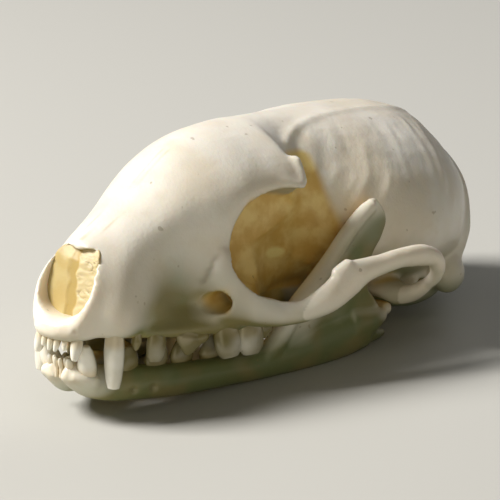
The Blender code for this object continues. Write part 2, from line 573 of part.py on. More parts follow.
    def jaw(self):
        """Build the left half of the lower jaw with its teeth."""
        body = tube("body", JAW_BODY, self.helpers, sides=20)
        pieces = [body, self.ramus()]
        pieces.append(tube("front_edge", RAMUS_EDGE, self.helpers, aim=(0, 1, 0)))
        pieces.append(tube("condyle", JAW_CONDYLE, self.helpers))
        pieces.append(tube("condyle_neck", CONDYLE_NECK, self.helpers))
        pieces.append(tube("angle", JAW_ANGLE, self.helpers))
        pieces.append(tube("canine_root", JAW_CANINE_ROOT, self.helpers))
        bone = fuse("mandible_left", pieces, SMALL_VOXEL, self.parts, passes=3)
        cutters = [ball("muscle_hollow", *MUSCLE_HOLLOW[:2], self.helpers, MUSCLE_HOLLOW[2])]
        cutters.append(self.midline_block())
        boolean(bone, cutters, "DIFFERENCE")
        thin_out(bone, JAW_FACES)
        boolean(bone, self.lower_teeth(), "UNION", "MANIFOLD")
        keep_largest(bone)
        return bone

    def ramus(self):
        """Loft the thin upright plate of the jaw from level slices."""
        front, back = line(RAMUS_FRONT), line(RAMUS_BACK)
        centre, half = line(RAMUS_CENTRE), line(RAMUS_HALF_THICKNESS)
        rings = []
        for i in range(RAMUS_SLICES + 1):
            z = RAMUS_LOW + (RAMUS_TOP - RAMUS_LOW) * i / RAMUS_SLICES
            y0, y1 = front(z), back(z)
            ring = []
            for k in range(RAMUS_SIDES):
                turn = 2 * math.pi * k / RAMUS_SIDES
                reach = (y0 + y1) / 2 + (y1 - y0) / 2 * math.cos(turn)
                swell = abs(math.sin(turn)) ** RAMUS_FLATNESS * math.copysign(1, math.sin(turn))
                lean = (reach - y0) * RAMUS_SPREAD
                ring.append((centre(z) + lean + half(z) * swell, reach, z))
            rings.append(ring)
        return loft("ramus", rings, self.helpers)

    def midline_block(self):
        """Make the block that keeps the two jaw halves a thin gap apart."""
        bpy.ops.mesh.primitive_cube_add(size=1)
        block = bpy.context.object
        block.name = "midline_block"
        edge = GAP / 2
        size = Matrix.Diagonal((*MIDLINE_BLOCK, 1))
        place = Matrix.Translation((edge - MIDLINE_BLOCK[0] / 2, *MIDLINE_CENTRE))
        block.data.transform(Matrix.Scale(MM, 4) @ place @ size)
        return block

    def tooth(self, name, stations, side):
        """Make one rooted cusp on a side from its stations."""
        placed = [(s[0] * side, *s[1:]) for s in stations]
        return tube(name, placed, self.helpers, aim=(0, 1, 0), sides=CUSP_SIDES, per_span=1)

    def upper_teeth(self, side):
        """Make the upper teeth of one side."""
        return self.teeth(UPPER_CUSPS, side, -1)

    def lower_teeth(self):
        """Make the lower teeth of the left side."""
        return self.teeth(LOWER_CUSPS, 1, 1)

    def teeth(self, table, side, rise):
        """Make a row of cusps, each from its base, size, tip and shape."""
        made = []
        for name, base, halves, tip, shape in table:
            bulge, shoulder, point = shape
            x, y, z = base
            across, along = halves
            root = z - rise * ROOT_DEPTH
            belly = [(1 - bulge) * b + bulge * t for b, t in zip(base, tip)]
            upper = [(1 - SHOULDER_AT) * b + SHOULDER_AT * t for b, t in zip(base, tip)]
            stations = [(x, y, root, across * ROOT_WIDTHS[0], along * ROOT_WIDTHS[1]),
                        (x, y, z, across * NECK_WIDTH, along * NECK_WIDTH),
                        (*belly, across, along),
                        (*upper, across * shoulder, along * shoulder),
                        (*tip, across * point, along * point)]
            made.append(self.tooth(name, stations, side))
        return made


def material(name):
    """Make a bone finish for a node."""
    finish = bpy.data.materials.new(name)
    finish.use_nodes = True
    shader = finish.node_tree.nodes["Principled BSDF"]
    colour = next(c for key, c in BONE_COLOURS.items() if name.startswith(key))
    shader.inputs["Base Color"].default_value = colour
    shader.inputs["Roughness"].default_value = ROUGHNESS
    shader.inputs["Metallic"].default_value = 0.0
    return finish


def place(nodes):
    """Tip the nose up and set the skull on the ground."""
    shift = Vector(PLACE) * MM
    pose = Matrix.Translation(shift) @ Matrix.Rotation(-NOSE_UP, 4, "X")
    for node in nodes:
        node.data.transform(pose)


def cut_flats(nodes, helpers):
    """Cut the jaw's lower border level with the ground so that it rests there."""
    for node in nodes:
        bpy.ops.mesh.primitive_cube_add(size=FLOOR_BLOCK * MM, location=(0, 0, -FLOOR_BLOCK / 2 * MM))
        floor = bpy.context.object
        floor.name = "floor"
        for owner in list(floor.users_collection):
            owner.objects.unlink(floor)
        helpers.objects.link(floor)
        floor.data.transform(floor.matrix_basis)
        floor.matrix_basis = Matrix.Identity(4)
        boolean(node, [floor], "DIFFERENCE")
        keep_largest(node)


def main():
    """Build the skull and set it on the ground."""
    for obj in list(bpy.data.objects):
        bpy.data.objects.remove(obj)
    parts = bpy.data.collections.new("marten_skull")
    helpers = bpy.data.collections.new("cutters")
    helpers.hide_render = True
    for group in (parts, helpers):
        bpy.context.scene.collection.children.link(group)
    skull = Skull(parts, helpers)
    pairs = []
    for left in (skull.arch(), skull.bulla(), skull.jaw()):
        right = mirrored(left, left.name.replace("_left", "_right"), parts)
        pairs += [left, right]
    jaws = pairs[-2:]
    for half in jaws:
        half.data.transform(Matrix.Translation((JAW_SHIFT * MM, 0, 0)))
    cranium = skull.cranium()
    skull.seat(cranium, pairs)
    skull.plant_upper_teeth(cranium)
    nodes = [cranium, *pairs]
    place(nodes)
    cut_flats(jaws, helpers)
    for node in nodes:
        node.data.materials.clear()
        node.data.materials.append(material(node.name))
        node.data.shade_smooth()
        node.data.set_sharp_from_angle(angle=math.radians(CREASE_ANGLE))


main()
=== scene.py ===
"""Life-size skull of a young pine marten in bleached bone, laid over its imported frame.

Forms are drawn in the skull's own frame, in millimetres: x to the animal's left, y back from the
front teeth and z up from the upper tooth line. Every finished piece is then tipped nose up and set
on the ground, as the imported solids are.
"""
from __future__ import annotations

import logging
import math
from dataclasses import dataclass
from enum import Enum

import bpy
import numpy as np
from mathutils import Matrix, Vector, noise
from mathutils.bvhtree import BVHTree


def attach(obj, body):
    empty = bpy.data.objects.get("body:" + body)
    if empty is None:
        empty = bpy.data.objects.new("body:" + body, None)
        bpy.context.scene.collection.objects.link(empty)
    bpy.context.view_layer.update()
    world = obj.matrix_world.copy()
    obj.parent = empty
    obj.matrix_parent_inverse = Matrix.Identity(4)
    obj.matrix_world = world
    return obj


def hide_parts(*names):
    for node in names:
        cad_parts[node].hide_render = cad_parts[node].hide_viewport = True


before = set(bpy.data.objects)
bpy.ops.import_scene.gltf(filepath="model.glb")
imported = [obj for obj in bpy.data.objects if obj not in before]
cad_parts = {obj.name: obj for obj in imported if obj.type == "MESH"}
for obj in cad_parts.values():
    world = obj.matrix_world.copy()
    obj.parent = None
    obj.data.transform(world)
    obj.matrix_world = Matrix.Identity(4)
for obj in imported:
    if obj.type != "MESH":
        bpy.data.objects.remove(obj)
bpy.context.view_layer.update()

log = logging.getLogger("marten_skull")

Station = tuple[float, float, float, float, float]
Point = tuple[float, float, float]
Knots = tuple[tuple[float, float], ...]
Colour = tuple[float, float, float]
Spot = tuple[Point, float, float]
Limits = tuple[float, float, float]
Oval = tuple[tuple[float, float], tuple[float, float]]

MM = 0.001
NOSE_UP = math.radians(8.6)
PLACE = (0.0, -39.0, 12.05)
JAW_SHIFT = -0.2
WIDTH_SCALE = 1.04

DENT_FALL = 1.4
# Settings of the shelter measure, which feeds the painted recess shade.
GRAZING = 0.15
RAY_START = 0.2
CRANIUM_REACH = 16.0
JAW_REACH = 12.0
TOOTH_REACH = 6.0
SCROLL_REACH = 5.0
FEW_RAYS = 18


def pose() -> Matrix:
    """Return the step from the skull's frame, in metres, to the ground frame."""
    return Matrix.Translation(Vector(PLACE) * MM) @ Matrix.Rotation(-NOSE_UP, 4, "X")


class Side(Enum):
    """A side of the animal, by the sign of its x."""

    LEFT = 1
    RIGHT = -1

    @property
    def word(self) -> str:
        """Return the side's name in small letters."""
        return self.name.lower()


# Smooth lines


def line(knots: Knots, x: float) -> float:
    """Read a smooth curve through knots, which never swings past them.

    Args:
        knots: Pairs of place and value, in rising order of place.
        x: The place to read.

    Returns:
        The value at x, held level past both ends.
    """
    places = [k[0] for k in knots]
    values = [k[1] for k in knots]
    slopes = [(values[i + 1] - values[i]) / (places[i + 1] - places[i]) for i in range(len(knots) - 1)]
    ends = [slopes[0]]
    for before, after in zip(slopes, slopes[1:]):
        ends.append(0.0 if before * after <= 0 else 2 * before * after / (before + after))
    ends.append(slopes[-1])
    x = min(max(x, places[0]), places[-1])
    i = 0
    while i < len(places) - 2 and x > places[i + 1]:
        i += 1
    span = places[i + 1] - places[i]
    t = (x - places[i]) / span
    rise = (3 - 2 * t) * t * t
    bend = t * (1 - t) * (ends[i] * (1 - t) - ends[i + 1] * t)
    return values[i] * (1 - rise) + values[i + 1] * rise + span * bend


def smooth_points(points: list[Vector], per_span: int, closed: bool = False) -> list[Vector]:
    """Return points on a smooth curve through given ones.

    Args:
        points: Vectors of any length whose first three values are a place.
        per_span: How many points each span is given.
        closed: Whether the curve returns to its start.

    Returns:
        The points along the curve, with both ends of an open one.
    """
    count = len(points)
    out: list[Vector] = []
    for i in range(count if closed else count - 1):
        p1, p2 = points[i], points[(i + 1) % count]
        p0 = points[i - 1] if closed or i else p1 - (p2 - p1)
        p3 = points[(i + 2) % count] if closed or i + 2 < count else p2 + (p2 - p1)
        d0, d1, d2 = (Vector((b - a)[:3]).length + 1e-9 for a, b in ((p0, p1), (p1, p2), (p2, p3)))
        m1 = (p2 - p0) / (d0 + d1) * d1
        m2 = (p3 - p1) / (d1 + d2) * d1
        for k in range(per_span):
            t = k / per_span
            rise = (3 - 2 * t) * t * t
            out.append(p1 * (1 - rise) + p2 * rise + (m1 * (1 - t) - m2 * t) * t * (1 - t))
    if not closed:
        out.append(points[-1].copy())
    return out


def flipped(stations: list[Station] | tuple[Station, ...], side: Side) -> list[Station]:
    """Return stations on a side of the animal, from those of its left side."""
    return [(s[0] * side.value, *s[1:]) for s in stations]


# Work in the modelling bench


class Bench:
    """Modelling steps on closed pieces, done with operators as by hand."""

    @staticmethod
    def pick(*objects: bpy.types.Object) -> None:
        """Select only the given objects and make the first one active."""
        bpy.ops.object.select_all(action="DESELECT")
        for obj in objects:
            obj.select_set(True)
        bpy.context.view_layer.objects.active = objects[0]

    @classmethod
    def outward(cls, obj: bpy.types.Object) -> None:
        """Turn every face of a closed piece outwards."""
        cls.pick(obj)
        bpy.ops.object.mode_set(mode="EDIT")
        bpy.ops.mesh.select_all(action="SELECT")
        bpy.ops.mesh.normals_make_consistent(inside=False)
        bpy.ops.object.mode_set(mode="OBJECT")

    @classmethod
    def rings(cls, name: str, rings: list[list[Vector]]) -> bpy.types.Object:
        """Draw a ball out into a closed skin over rings of equal count.

        Args:
            name: The piece's name.
            rings: Rows of places in millimetres, from one end to the other.

        Returns:
            The closed piece, in metres in the skull's frame.
        """
        around, rows = len(rings[0]), len(rings) + 1
        bpy.ops.object.select_all(action="DESELECT")
        bpy.ops.mesh.primitive_uv_sphere_add(segments=around, ring_count=rows, radius=1.0)
        obj = bpy.context.object
        obj.name = name
        ends = [sum(ring, Vector((0, 0, 0))) / around for ring in (rings[0], rings[-1])]
        for vert in obj.data.vertices:
            row = round(math.acos(max(-1.0, min(1.0, vert.co.z))) / math.pi * rows)
            turn = round(math.atan2(vert.co.y, vert.co.x) / (2 * math.pi) * around) % around
            if row in (0, rows):
                vert.co = ends[1 if row else 0] * MM
            else:
                vert.co = rings[row - 1][turn] * MM
        cls.outward(obj)
        return obj

    @classmethod
    def tube(cls, name: str, stations: list[Station], aim: Point = (0, 0, 1), sides: int = 24,
             per_span: int = 5, square: float = 1.0) -> bpy.types.Object:
        """Draw a closed tube through stations.

        Args:
            name: The piece's name.
            stations: Rows of x, y, z, half-width and half-depth along the aim.
            aim: The direction of each section's depth.
            sides: How many points each section has.
            per_span: How many sections each span has.
            square: Under 1 squares the section, over 1 pinches it.

        Returns:
            The closed piece.
        """
        path = smooth_points([Vector(s) for s in stations], per_span)
        rows: list[list[Vector]] = []
        for i, p in enumerate(path):
            ahead, behind = path[min(i + 1, len(path) - 1)], path[max(i - 1, 0)]
            along = Vector((ahead - behind)[:3]).normalized()
            up = (Vector(aim) - along * along.dot(Vector(aim))).normalized()
            side = along.cross(up)
            row = []
            for k in range(sides):
                turn = 2 * math.pi * k / sides
                c, s = math.cos(turn), math.sin(turn)
                wide = math.copysign(abs(c) ** square, c) * p[3]
                deep = math.copysign(abs(s) ** square, s) * p[4]
                row.append(Vector(p[:3]) + side * wide + up * deep)
            rows.append(row)
        return cls.rings(name, rows)

    @classmethod
    def ball(cls, name: str, centre: Point, radii: Point, turn: Point = (0, 0, 0)) -> bpy.types.Object:
        """Add an ellipsoid of given radii, turned by degrees about x, y and z."""
        bpy.ops.object.select_all(action="DESELECT")
        bpy.ops.mesh.primitive_uv_sphere_add(
            segments=40, ring_count=24, radius=MM, location=Vector(centre) * MM,
            rotation=[math.radians(a) for a in turn], scale=radii)
        obj = bpy.context.object
        obj.name = name
        bpy.ops.object.transform_apply(location=True, rotation=True, scale=True)
        return obj

    @classmethod
    def block(cls, name: str, centre: Point, size: Point, turn: Point = (0, 0, 0)) -> bpy.types.Object:
        """Add a box of given size, turned by degrees about x, y and z."""
        bpy.ops.object.select_all(action="DESELECT")
        bpy.ops.mesh.primitive_cube_add(
            size=MM, location=Vector(centre) * MM, rotation=[math.radians(a) for a in turn], scale=size)
        obj = bpy.context.object
        obj.name = name
        bpy.ops.object.transform_apply(location=True, rotation=True, scale=True)
        return obj

    @classmethod
    def join(cls, name: str, pieces: list[bpy.types.Object]) -> bpy.types.Object:
        """Make several pieces one object."""
        cls.pick(*pieces)
        if len(pieces) > 1:
            bpy.ops.object.join()
        obj = bpy.context.view_layer.objects.active
        obj.name = name
        obj.data.name = name
        return obj

    @classmethod
    def melt(cls, obj: bpy.types.Object, voxel: float, passes: int) -> None:
        """Grow overlapping shapes together on a fine grid and soften them.

        Args:
            obj: The piece to rebuild.
            voxel: The grid's step in millimetres.
            passes: How often the surface is eased.
        """
        cls.pick(obj)
        grid = obj.modifiers.new("grow", "REMESH")
        grid.mode = "VOXEL"
        grid.voxel_size = voxel * MM
        bpy.ops.object.modifier_apply(modifier=grid.name)
        if passes:
            ease = obj.modifiers.new("ease", "SMOOTH")
            ease.factor = 0.5
            ease.iterations = passes
            bpy.ops.object.modifier_apply(modifier=ease.name)

    @classmethod
    def cut(cls, obj: bpy.types.Object, cutters: list[bpy.types.Object]) -> None:
        """Cut closed shapes out of a piece and clear them away."""
        for cutter in cutters:
            cls.pick(obj)
            less = obj.modifiers.new("less", "BOOLEAN")
            less.operation = "DIFFERENCE"
            less.solver = "MANIFOLD"
            less.object = cutter
            bpy.ops.object.modifier_apply(modifier=less.name)
            bpy.data.objects.remove(cutter)

    @staticmethod
    def arrays(obj: bpy.types.Object) -> tuple[np.ndarray, np.ndarray]:
        """Return a piece's places in millimetres and its normals."""
        count = len(obj.data.vertices)
        places, normals = np.empty(count * 3), np.empty(count * 3)
        obj.data.vertices.foreach_get("co", places)
        obj.data.vertices.foreach_get("normal", normals)
        return places.reshape(-1, 3) / MM, normals.reshape(-1, 3)

    @staticmethod
    def put(obj: bpy.types.Object, places: np.ndarray) -> None:
        """Give a piece new places, in millimetres."""
        obj.data.vertices.foreach_set("co", (places * MM).ravel())
        obj.data.update()

    @staticmethod
    def mark(obj: bpy.types.Object, name: str, values: np.ndarray) -> None:
        """Store a value for every point of a piece under a name."""
        layer = obj.data.attributes.get(name) or obj.data.attributes.new(name, "FLOAT", "POINT")
        layer.data.foreach_set("value", values.astype(np.float32))

    @classmethod
    def finish(cls, obj: bpy.types.Object, finish: "Finish", slot: str) -> None:
        """Set a piece on the ground, dress it and let it ride with the skull."""
        obj.data.transform(pose())
        obj.data.materials.clear()
        obj.data.materials.append(finish.material())
        cls.pick(obj)
        bpy.ops.object.shade_smooth()
        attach(obj, "root")
        log.info("%s: %d faces", obj.name, len(obj.data.polygons))


# Sculpting on points


def dents(places: np.ndarray, normals: np.ndarray, spots: tuple[Spot, ...]) -> np.ndarray:
    """Press small round dents into a surface.

    Args:
        places: Points of the surface, in millimetres.
        normals: Their normals.
        spots: Centre, radius and depth of each dent; a negative depth raises a swelling.

    Returns:
        The moved points.
    """
    moved = places.copy()
    for centre, radius, depth in spots:
        away = np.linalg.norm(places - np.array(centre), axis=1) / radius
        moved -= normals * (depth * np.exp(-away ** 2 * DENT_FALL))[:, None]
    return moved


def ripple(places: np.ndarray, scale: float, seed: float) -> np.ndarray:
    """Return soft noise in about -1 to 1 at each point, with a grain size in millimetres."""
    step = Vector((seed, seed * 0.7, -seed))
    return np.array([noise.noise(Vector(p) / scale + step) for p in places])


def read_knots(knots: Knots, places: np.ndarray) -> np.ndarray:
    """Read straight lines through knots at many places."""
    return np.interp(places, [k[0] for k in knots], [k[1] for k in knots])


def within(values: np.ndarray, low: float, high: float, edge: float) -> np.ndarray:
    """Return 1 inside a range and 0 outside, with soft edges of a given width."""
    rise = np.clip((values - low) / edge + 0.5, 0, 1)
    fall = np.clip((high - values) / edge + 0.5, 0, 1)
    both = np.minimum(rise, fall)
    return both * both * (3 - 2 * both)


@dataclass(frozen=True)
class Region:
    """A box with soft edges: its low end, high end and edge width along each axis that it limits."""

    x: Limits | None = None
    y: Limits | None = None
    z: Limits | None = None

    def share(self, places: np.ndarray) -> np.ndarray:
        """Return 1 inside the box and 0 outside for each place."""
        result = np.ones(len(places))
        for column, limits in enumerate((self.x, self.y, self.z)):
            if limits:
                result *= within(places[:, column], *limits)
        return result


def from_oval(places: np.ndarray, oval: Oval) -> np.ndarray:
    """Return 0 in the middle of an oval seen from the side, 1 on its edge and more outside."""
    (y, z), (length, height) = oval
    return ((places[:, 1] - y) / length) ** 2 + ((places[:, 2] - z) / height) ** 2


def along(places: np.ndarray, path: tuple[Point, ...] | list[Point], width: float) -> np.ndarray:
    """Return 1 on a line through places and 0 past its width, fading between."""
    points = [Vector(p) for p in path]
    curve = np.array([list(p) for p in smooth_points(points, 6)])
    best = np.full(len(places), 1e9)
    for a, b in zip(curve, curve[1:]):
        span = b - a
        t = np.clip(((places - a) @ span) / (span @ span), 0, 1)
        best = np.minimum(best, np.linalg.norm(places - a - t[:, None] * span, axis=1))
    return np.exp(-(best / width) ** 2)


def shelter(obj: bpy.types.Object, others: list[bpy.types.Object], reach: float,
            rays: int = 26) -> np.ndarray:
    """Measure how much of the sky each point of a piece is shut off from.

    Args:
        obj: The piece that is read.
        others: More pieces that shut it in.
        reach: How far a wall counts, in millimetres.
        rays: How many directions the whole sphere is read in.

    Returns:
        A value from 0, open, to 1, shut in, for each point.
    """
    trees = []
    for piece in [obj, *others]:
        mesh = piece.data
        trees.append(BVHTree.FromPolygons([v.co for v in mesh.vertices], [p.vertices for p in mesh.polygons]))
    golden = math.pi * (3 - math.sqrt(5))
    sky = []
    for k in range(rays):
        z = 1 - 2 * (k + 0.5) / rays
        r = math.sqrt(1 - z * z)
        sky.append(Vector((r * math.cos(golden * k), r * math.sin(golden * k), z)))
    result = np.zeros(len(obj.data.vertices))
    for i, vert in enumerate(obj.data.vertices):
        start = vert.co + vert.normal * (RAY_START * MM)
        total = blocked = 0.0
        for ray in sky:
            lean = ray.dot(vert.normal)
            if lean < GRAZING:
                continue
            total += lean
            near = min((hit[3] for hit in (t.ray_cast(start, ray, reach * MM) for t in trees)
                        if hit[0] is not None), default=None)
            if near is not None:
                blocked += lean * (1 - near / (reach * MM)) ** 0.5
        result[i] = blocked / total if total else 1.0
    edges = np.empty(len(obj.data.edges) * 2, dtype=np.int64)
    obj.data.edges.foreach_get("vertices", edges)
    edges = edges.reshape(-1, 2)
    for _ in range(3):
        total = result.copy()
        count = np.ones(len(result))
        for a, b in ((0, 1), (1, 0)):
            np.add.at(total, edges[:, a], result[edges[:, b]])
            np.add.at(count, edges[:, a], 1)
        result = total / count
    return result


# Finishes


class Tree:
    """A small hand for wiring a material's nodes."""

    def __init__(self, name: str) -> None:
        """Start a material that holds only its shader."""
        self.made = bpy.data.materials.new(name)
        self.made.use_nodes = True
        self.nodes = self.made.node_tree.nodes
        self.links = self.made.node_tree.links
        self.shader = self.nodes["Principled BSDF"]

    def node(self, kind: str, **values: object) -> bpy.types.Node:
        """Add a node and set its options."""
        made = self.nodes.new(kind)
        for key, value in values.items():
            setattr(made, key, value)
        return made

    def link(self, out: bpy.types.NodeSocket, into: bpy.types.NodeSocket) -> None:
        """Join an output to an input."""
        self.links.new(out, into)

    def places(self) -> bpy.types.NodeSocket:
        """Return the piece's own coordinates."""
        return self.node("ShaderNodeTexCoord").outputs["Object"]

    def grain(self, size: float, detail: float = 4.0, stretch: Point = (1, 1, 1)) -> bpy.types.NodeSocket:
        """Return noise whose largest grain is a given size in millimetres."""
        spread = self.node("ShaderNodeMapping")
        spread.inputs["Scale"].default_value = stretch
        self.link(self.places(), spread.inputs["Vector"])
        made = self.node("ShaderNodeTexNoise")
        made.inputs["Scale"].default_value = 1000.0 / size
        made.inputs["Detail"].default_value = detail
        self.link(spread.outputs["Vector"], made.inputs["Vector"])
        return made.outputs["Fac"]

    def span(self, value: bpy.types.NodeSocket, low: float, high: float) -> bpy.types.NodeSocket:
        """Stretch a value so that low becomes 0 and high becomes 1."""
        made = self.node("ShaderNodeMapRange", interpolation_type="SMOOTHSTEP")
        made.inputs["From Min"].default_value = low
        made.inputs["From Max"].default_value = high
        self.link(value, made.inputs["Value"])
        return made.outputs["Result"]

    def blend(self, share: bpy.types.NodeSocket, first: object, second: object,
              amount: float = 1.0) -> bpy.types.NodeSocket:
        """Mix two colours by a share, cut down to an amount."""
        scaled = self.node("ShaderNodeMath", operation="MULTIPLY")
        self.link(share, scaled.inputs[0])
        scaled.inputs[1].default_value = amount
        made = self.node("ShaderNodeMix", data_type="RGBA")
        self.link(scaled.outputs[0], made.inputs["Factor"])
        for key, value in ((6, first), (7, second)):
            if isinstance(value, bpy.types.NodeSocket):
                self.link(value, made.inputs[key])
            else:
                made.inputs[key].default_value = (*value, 1.0)
        return made.outputs[2]

    def read(self, name: str) -> bpy.types.NodeSocket:
        """Return a value that the piece stores for every point."""
        return self.node("ShaderNodeAttribute", attribute_name=name).outputs["Fac"]

    def bump(self, height: bpy.types.NodeSocket, depth: float,
             below: bpy.types.NodeSocket | None = None) -> bpy.types.NodeSocket:
        """Return a normal raised by a height map of a depth in millimetres."""
        made = self.node("ShaderNodeBump")
        made.inputs["Distance"].default_value = depth * MM
        made.inputs["Strength"].default_value = 1.0
        self.link(height, made.inputs["Height"])
        if below is not None:
            self.link(below, made.inputs["Normal"])
        return made.outputs["Normal"]

    def wire(self, socket: str, value: bpy.types.NodeSocket) -> None:
        """Lead a value into the shader."""
        self.link(value, self.shader.inputs[socket])

    def sheen(self, roughness: float, scatter: tuple[float, Colour, float],
              coat: tuple[float, float] = (0.0, 0.0)) -> None:
        """Set how the surface shines and how light enters it.

        Args:
            roughness: How dull the surface is.
            scatter: How much light enters, how far each colour goes, and the depth in millimetres.
            coat: The share and the roughness of the clear coat.
        """
        inputs = self.shader.inputs
        inputs["Roughness"].default_value = roughness
        inputs["Subsurface Weight"].default_value = scatter[0]
        inputs["Subsurface Radius"].default_value = scatter[1]
        inputs["Subsurface Scale"].default_value = scatter[2] * MM
        inputs["Coat Weight"].default_value = coat[0]
        inputs["Coat Roughness"].default_value = coat[1]


@dataclass(frozen=True)
class Finish:
    """Any finish that can dress a piece."""

    name: str

    def material(self) -> bpy.types.Material:
        """Return the finish's material, made once."""
        return bpy.data.materials.get(self.name) or self.make()

    def make(self) -> bpy.types.Material:
        """Build the material."""
        raise NotImplementedError


@dataclass(frozen=True)
class BoneFinish(Finish):
    """Bleached dry bone: ivory where it is open, with painted olive shade on its folds and under sides,
    painted tan and gold shade in its recesses, and painted golden glow in its thin walls.
    """

    ivory: Colour = (0.86, 0.78, 0.65)
    cream: Colour = (0.93, 0.88, 0.79)
    tan: Colour = (0.60, 0.47, 0.29)
    painted_shade_olive: Colour = (0.20, 0.17, 0.035)
    painted_shade_green: Colour = (0.12, 0.15, 0.025)
    painted_gold: Colour = (0.74, 0.46, 0.09)
    painted_honey: Colour = (0.93, 0.70, 0.25)
    thin: Colour = (1.0, 0.84, 0.36)
    speck: Colour = (0.26, 0.19, 0.08)
    roughness: float = 0.40
    specular: float = 0.45

    def make(self) -> bpy.types.Material:
        """Build the bone, with its clouds of tone, its pores and its soft sheen."""
        t = Tree(self.name)
        clouds = t.span(t.grain(9.0, 3.0), 0.36, 0.66)
        colour = t.blend(clouds, self.ivory, self.cream)
        stains = t.span(t.grain(4.0, 5.0), 0.56, 0.78)
        colour = t.blend(stains, colour, self.tan, 0.22)
        # Painted recess shade: shut-in places turn tan, the deepest ones gold.
        recess_shade_share = t.read("painted_recess_shade")
        colour = t.blend(t.span(recess_shade_share, 0.16, 0.50), colour, self.tan, 0.55)
        colour = t.blend(t.span(recess_shade_share, 0.42, 0.85), colour, self.painted_gold, 0.85)
        # Painted olive shade, from the stored shade share.
        painted_shade_mix = t.blend(t.span(t.grain(7.0, 2.0), 0.38, 0.62), self.painted_shade_olive, self.painted_shade_green)
        colour = t.blend(t.read("painted_shade"), colour, painted_shade_mix, 0.92)
        # Painted golden glow in the thin walls, and a painted paler yellow patch.
        painted_glow_tone = t.blend(t.span(t.grain(3.2, 3.0), 0.35, 0.68), self.painted_gold, self.painted_honey)
        colour = t.blend(t.read("painted_glow"), colour, painted_glow_tone, 0.92)
        colour = t.blend(t.read("painted_glow_patch"), colour, self.thin, 0.95)
        colour = t.blend(t.read("seam"), colour, self.tan, 0.5)
        specks = t.span(t.grain(1.3, 1.0), 0.745, 0.79)
        colour = t.blend(specks, colour, self.speck, 0.4)
        t.wire("Base Color", colour)
        relief = t.bump(t.grain(0.55, 6.0), 0.035)
        relief = t.bump(t.grain(0.22, 2.0), 0.012, relief)
        t.wire("Normal", relief)
        t.shader.inputs["Specular IOR Level"].default_value = self.specular
        t.sheen(self.roughness, (0.16, (1.0, 0.62, 0.32), 1.2), (0.12, 0.2))
        return t.made


@dataclass(frozen=True)
class ToothFinish(Finish):
    """Glossy enamel close to the bone's own ivory, warmer at the gum, with painted amber shade in its
    recesses and painted olive shade in the cheek.
    """

    enamel: Colour = (0.80, 0.77, 0.66)
    bright: Colour = (0.90, 0.87, 0.78)
    neck: Colour = (0.74, 0.63, 0.44)
    painted_amber_shade: Colour = (0.52, 0.38, 0.16)
    painted_shade_olive: Colour = (0.20, 0.165, 0.04)
    roughness: float = 0.2

    def make(self) -> bpy.types.Material:
        """Build the enamel, with faint growth lines."""
        t = Tree(self.name)
        clouds = t.span(t.grain(2.2, 3.0), 0.35, 0.68)
        colour = t.blend(clouds, self.enamel, self.bright)
        colour = t.blend(t.span(t.read("neck"), 0.05, 0.9), colour, self.neck, 0.85)
        # Painted shade: amber in recesses, olive on the cheek teeth.
        colour = t.blend(t.span(t.read("painted_recess_shade"), 0.30, 0.85), colour, self.painted_amber_shade, 0.8)
        colour = t.blend(t.read("painted_shade"), colour, self.painted_shade_olive, 0.9)
        t.wire("Base Color", colour)
        t.wire("Normal", t.bump(t.grain(0.5, 2.0, (1, 1, 4)), 0.012))
        t.sheen(self.roughness, (0.2, (0.8, 0.7, 0.5), 0.6), (0.3, 0.1))
        return t.made


@dataclass(frozen=True)
class ScrollFinish(Finish):
    """Thin ochre bone inside the nose, smooth on one side and crackled on the other."""

    smooth: Colour = (0.56, 0.44, 0.19)
    leaf: Colour = (0.62, 0.51, 0.28)
    band: Colour = (0.44, 0.31, 0.09)
    # Painted shade colour for the cracks.
    deep: Colour = (0.22, 0.15, 0.05)
    ochre: Colour = (0.54, 0.40, 0.15)
    roughness: float = 0.5

    def make(self) -> bpy.types.Material:
        """Build the filling, with its darker partition, the fine cracks of its leaves darkened with painted
        shade, and painted shade in its recesses.
        """
        t = Tree(self.name)
        clouds = t.blend(t.span(t.grain(2.4, 3.0), 0.36, 0.66), self.smooth, self.ochre)
        colour = t.blend(t.read("leaf"), clouds, self.leaf)
        colour = t.blend(t.read("band"), colour, self.band, 0.85)
        # Painted shade: the cracks take the deep colour, and recesses the partition's colour.
        colour = t.blend(t.read("crack"), colour, self.deep, 0.75)
        colour = t.blend(t.span(t.read("painted_recess_shade"), 0.55, 1.0), colour, self.band, 0.6)
        t.wire("Base Color", colour)
        t.wire("Normal", t.bump(t.grain(0.35, 3.0), 0.02))
        t.sheen(self.roughness, (0.25, (1.0, 0.7, 0.2), 1.0))
        return t.made


BONE = BoneFinish("bleached_bone")
JAW_BONE = BoneFinish("bleached_jaw_bone", ivory=(0.84, 0.77, 0.62), cream=(0.90, 0.86, 0.75))
ENAMEL = ToothFinish("tooth_enamel")
SCROLLS = ScrollFinish("nose_scrolls")


# The cranium


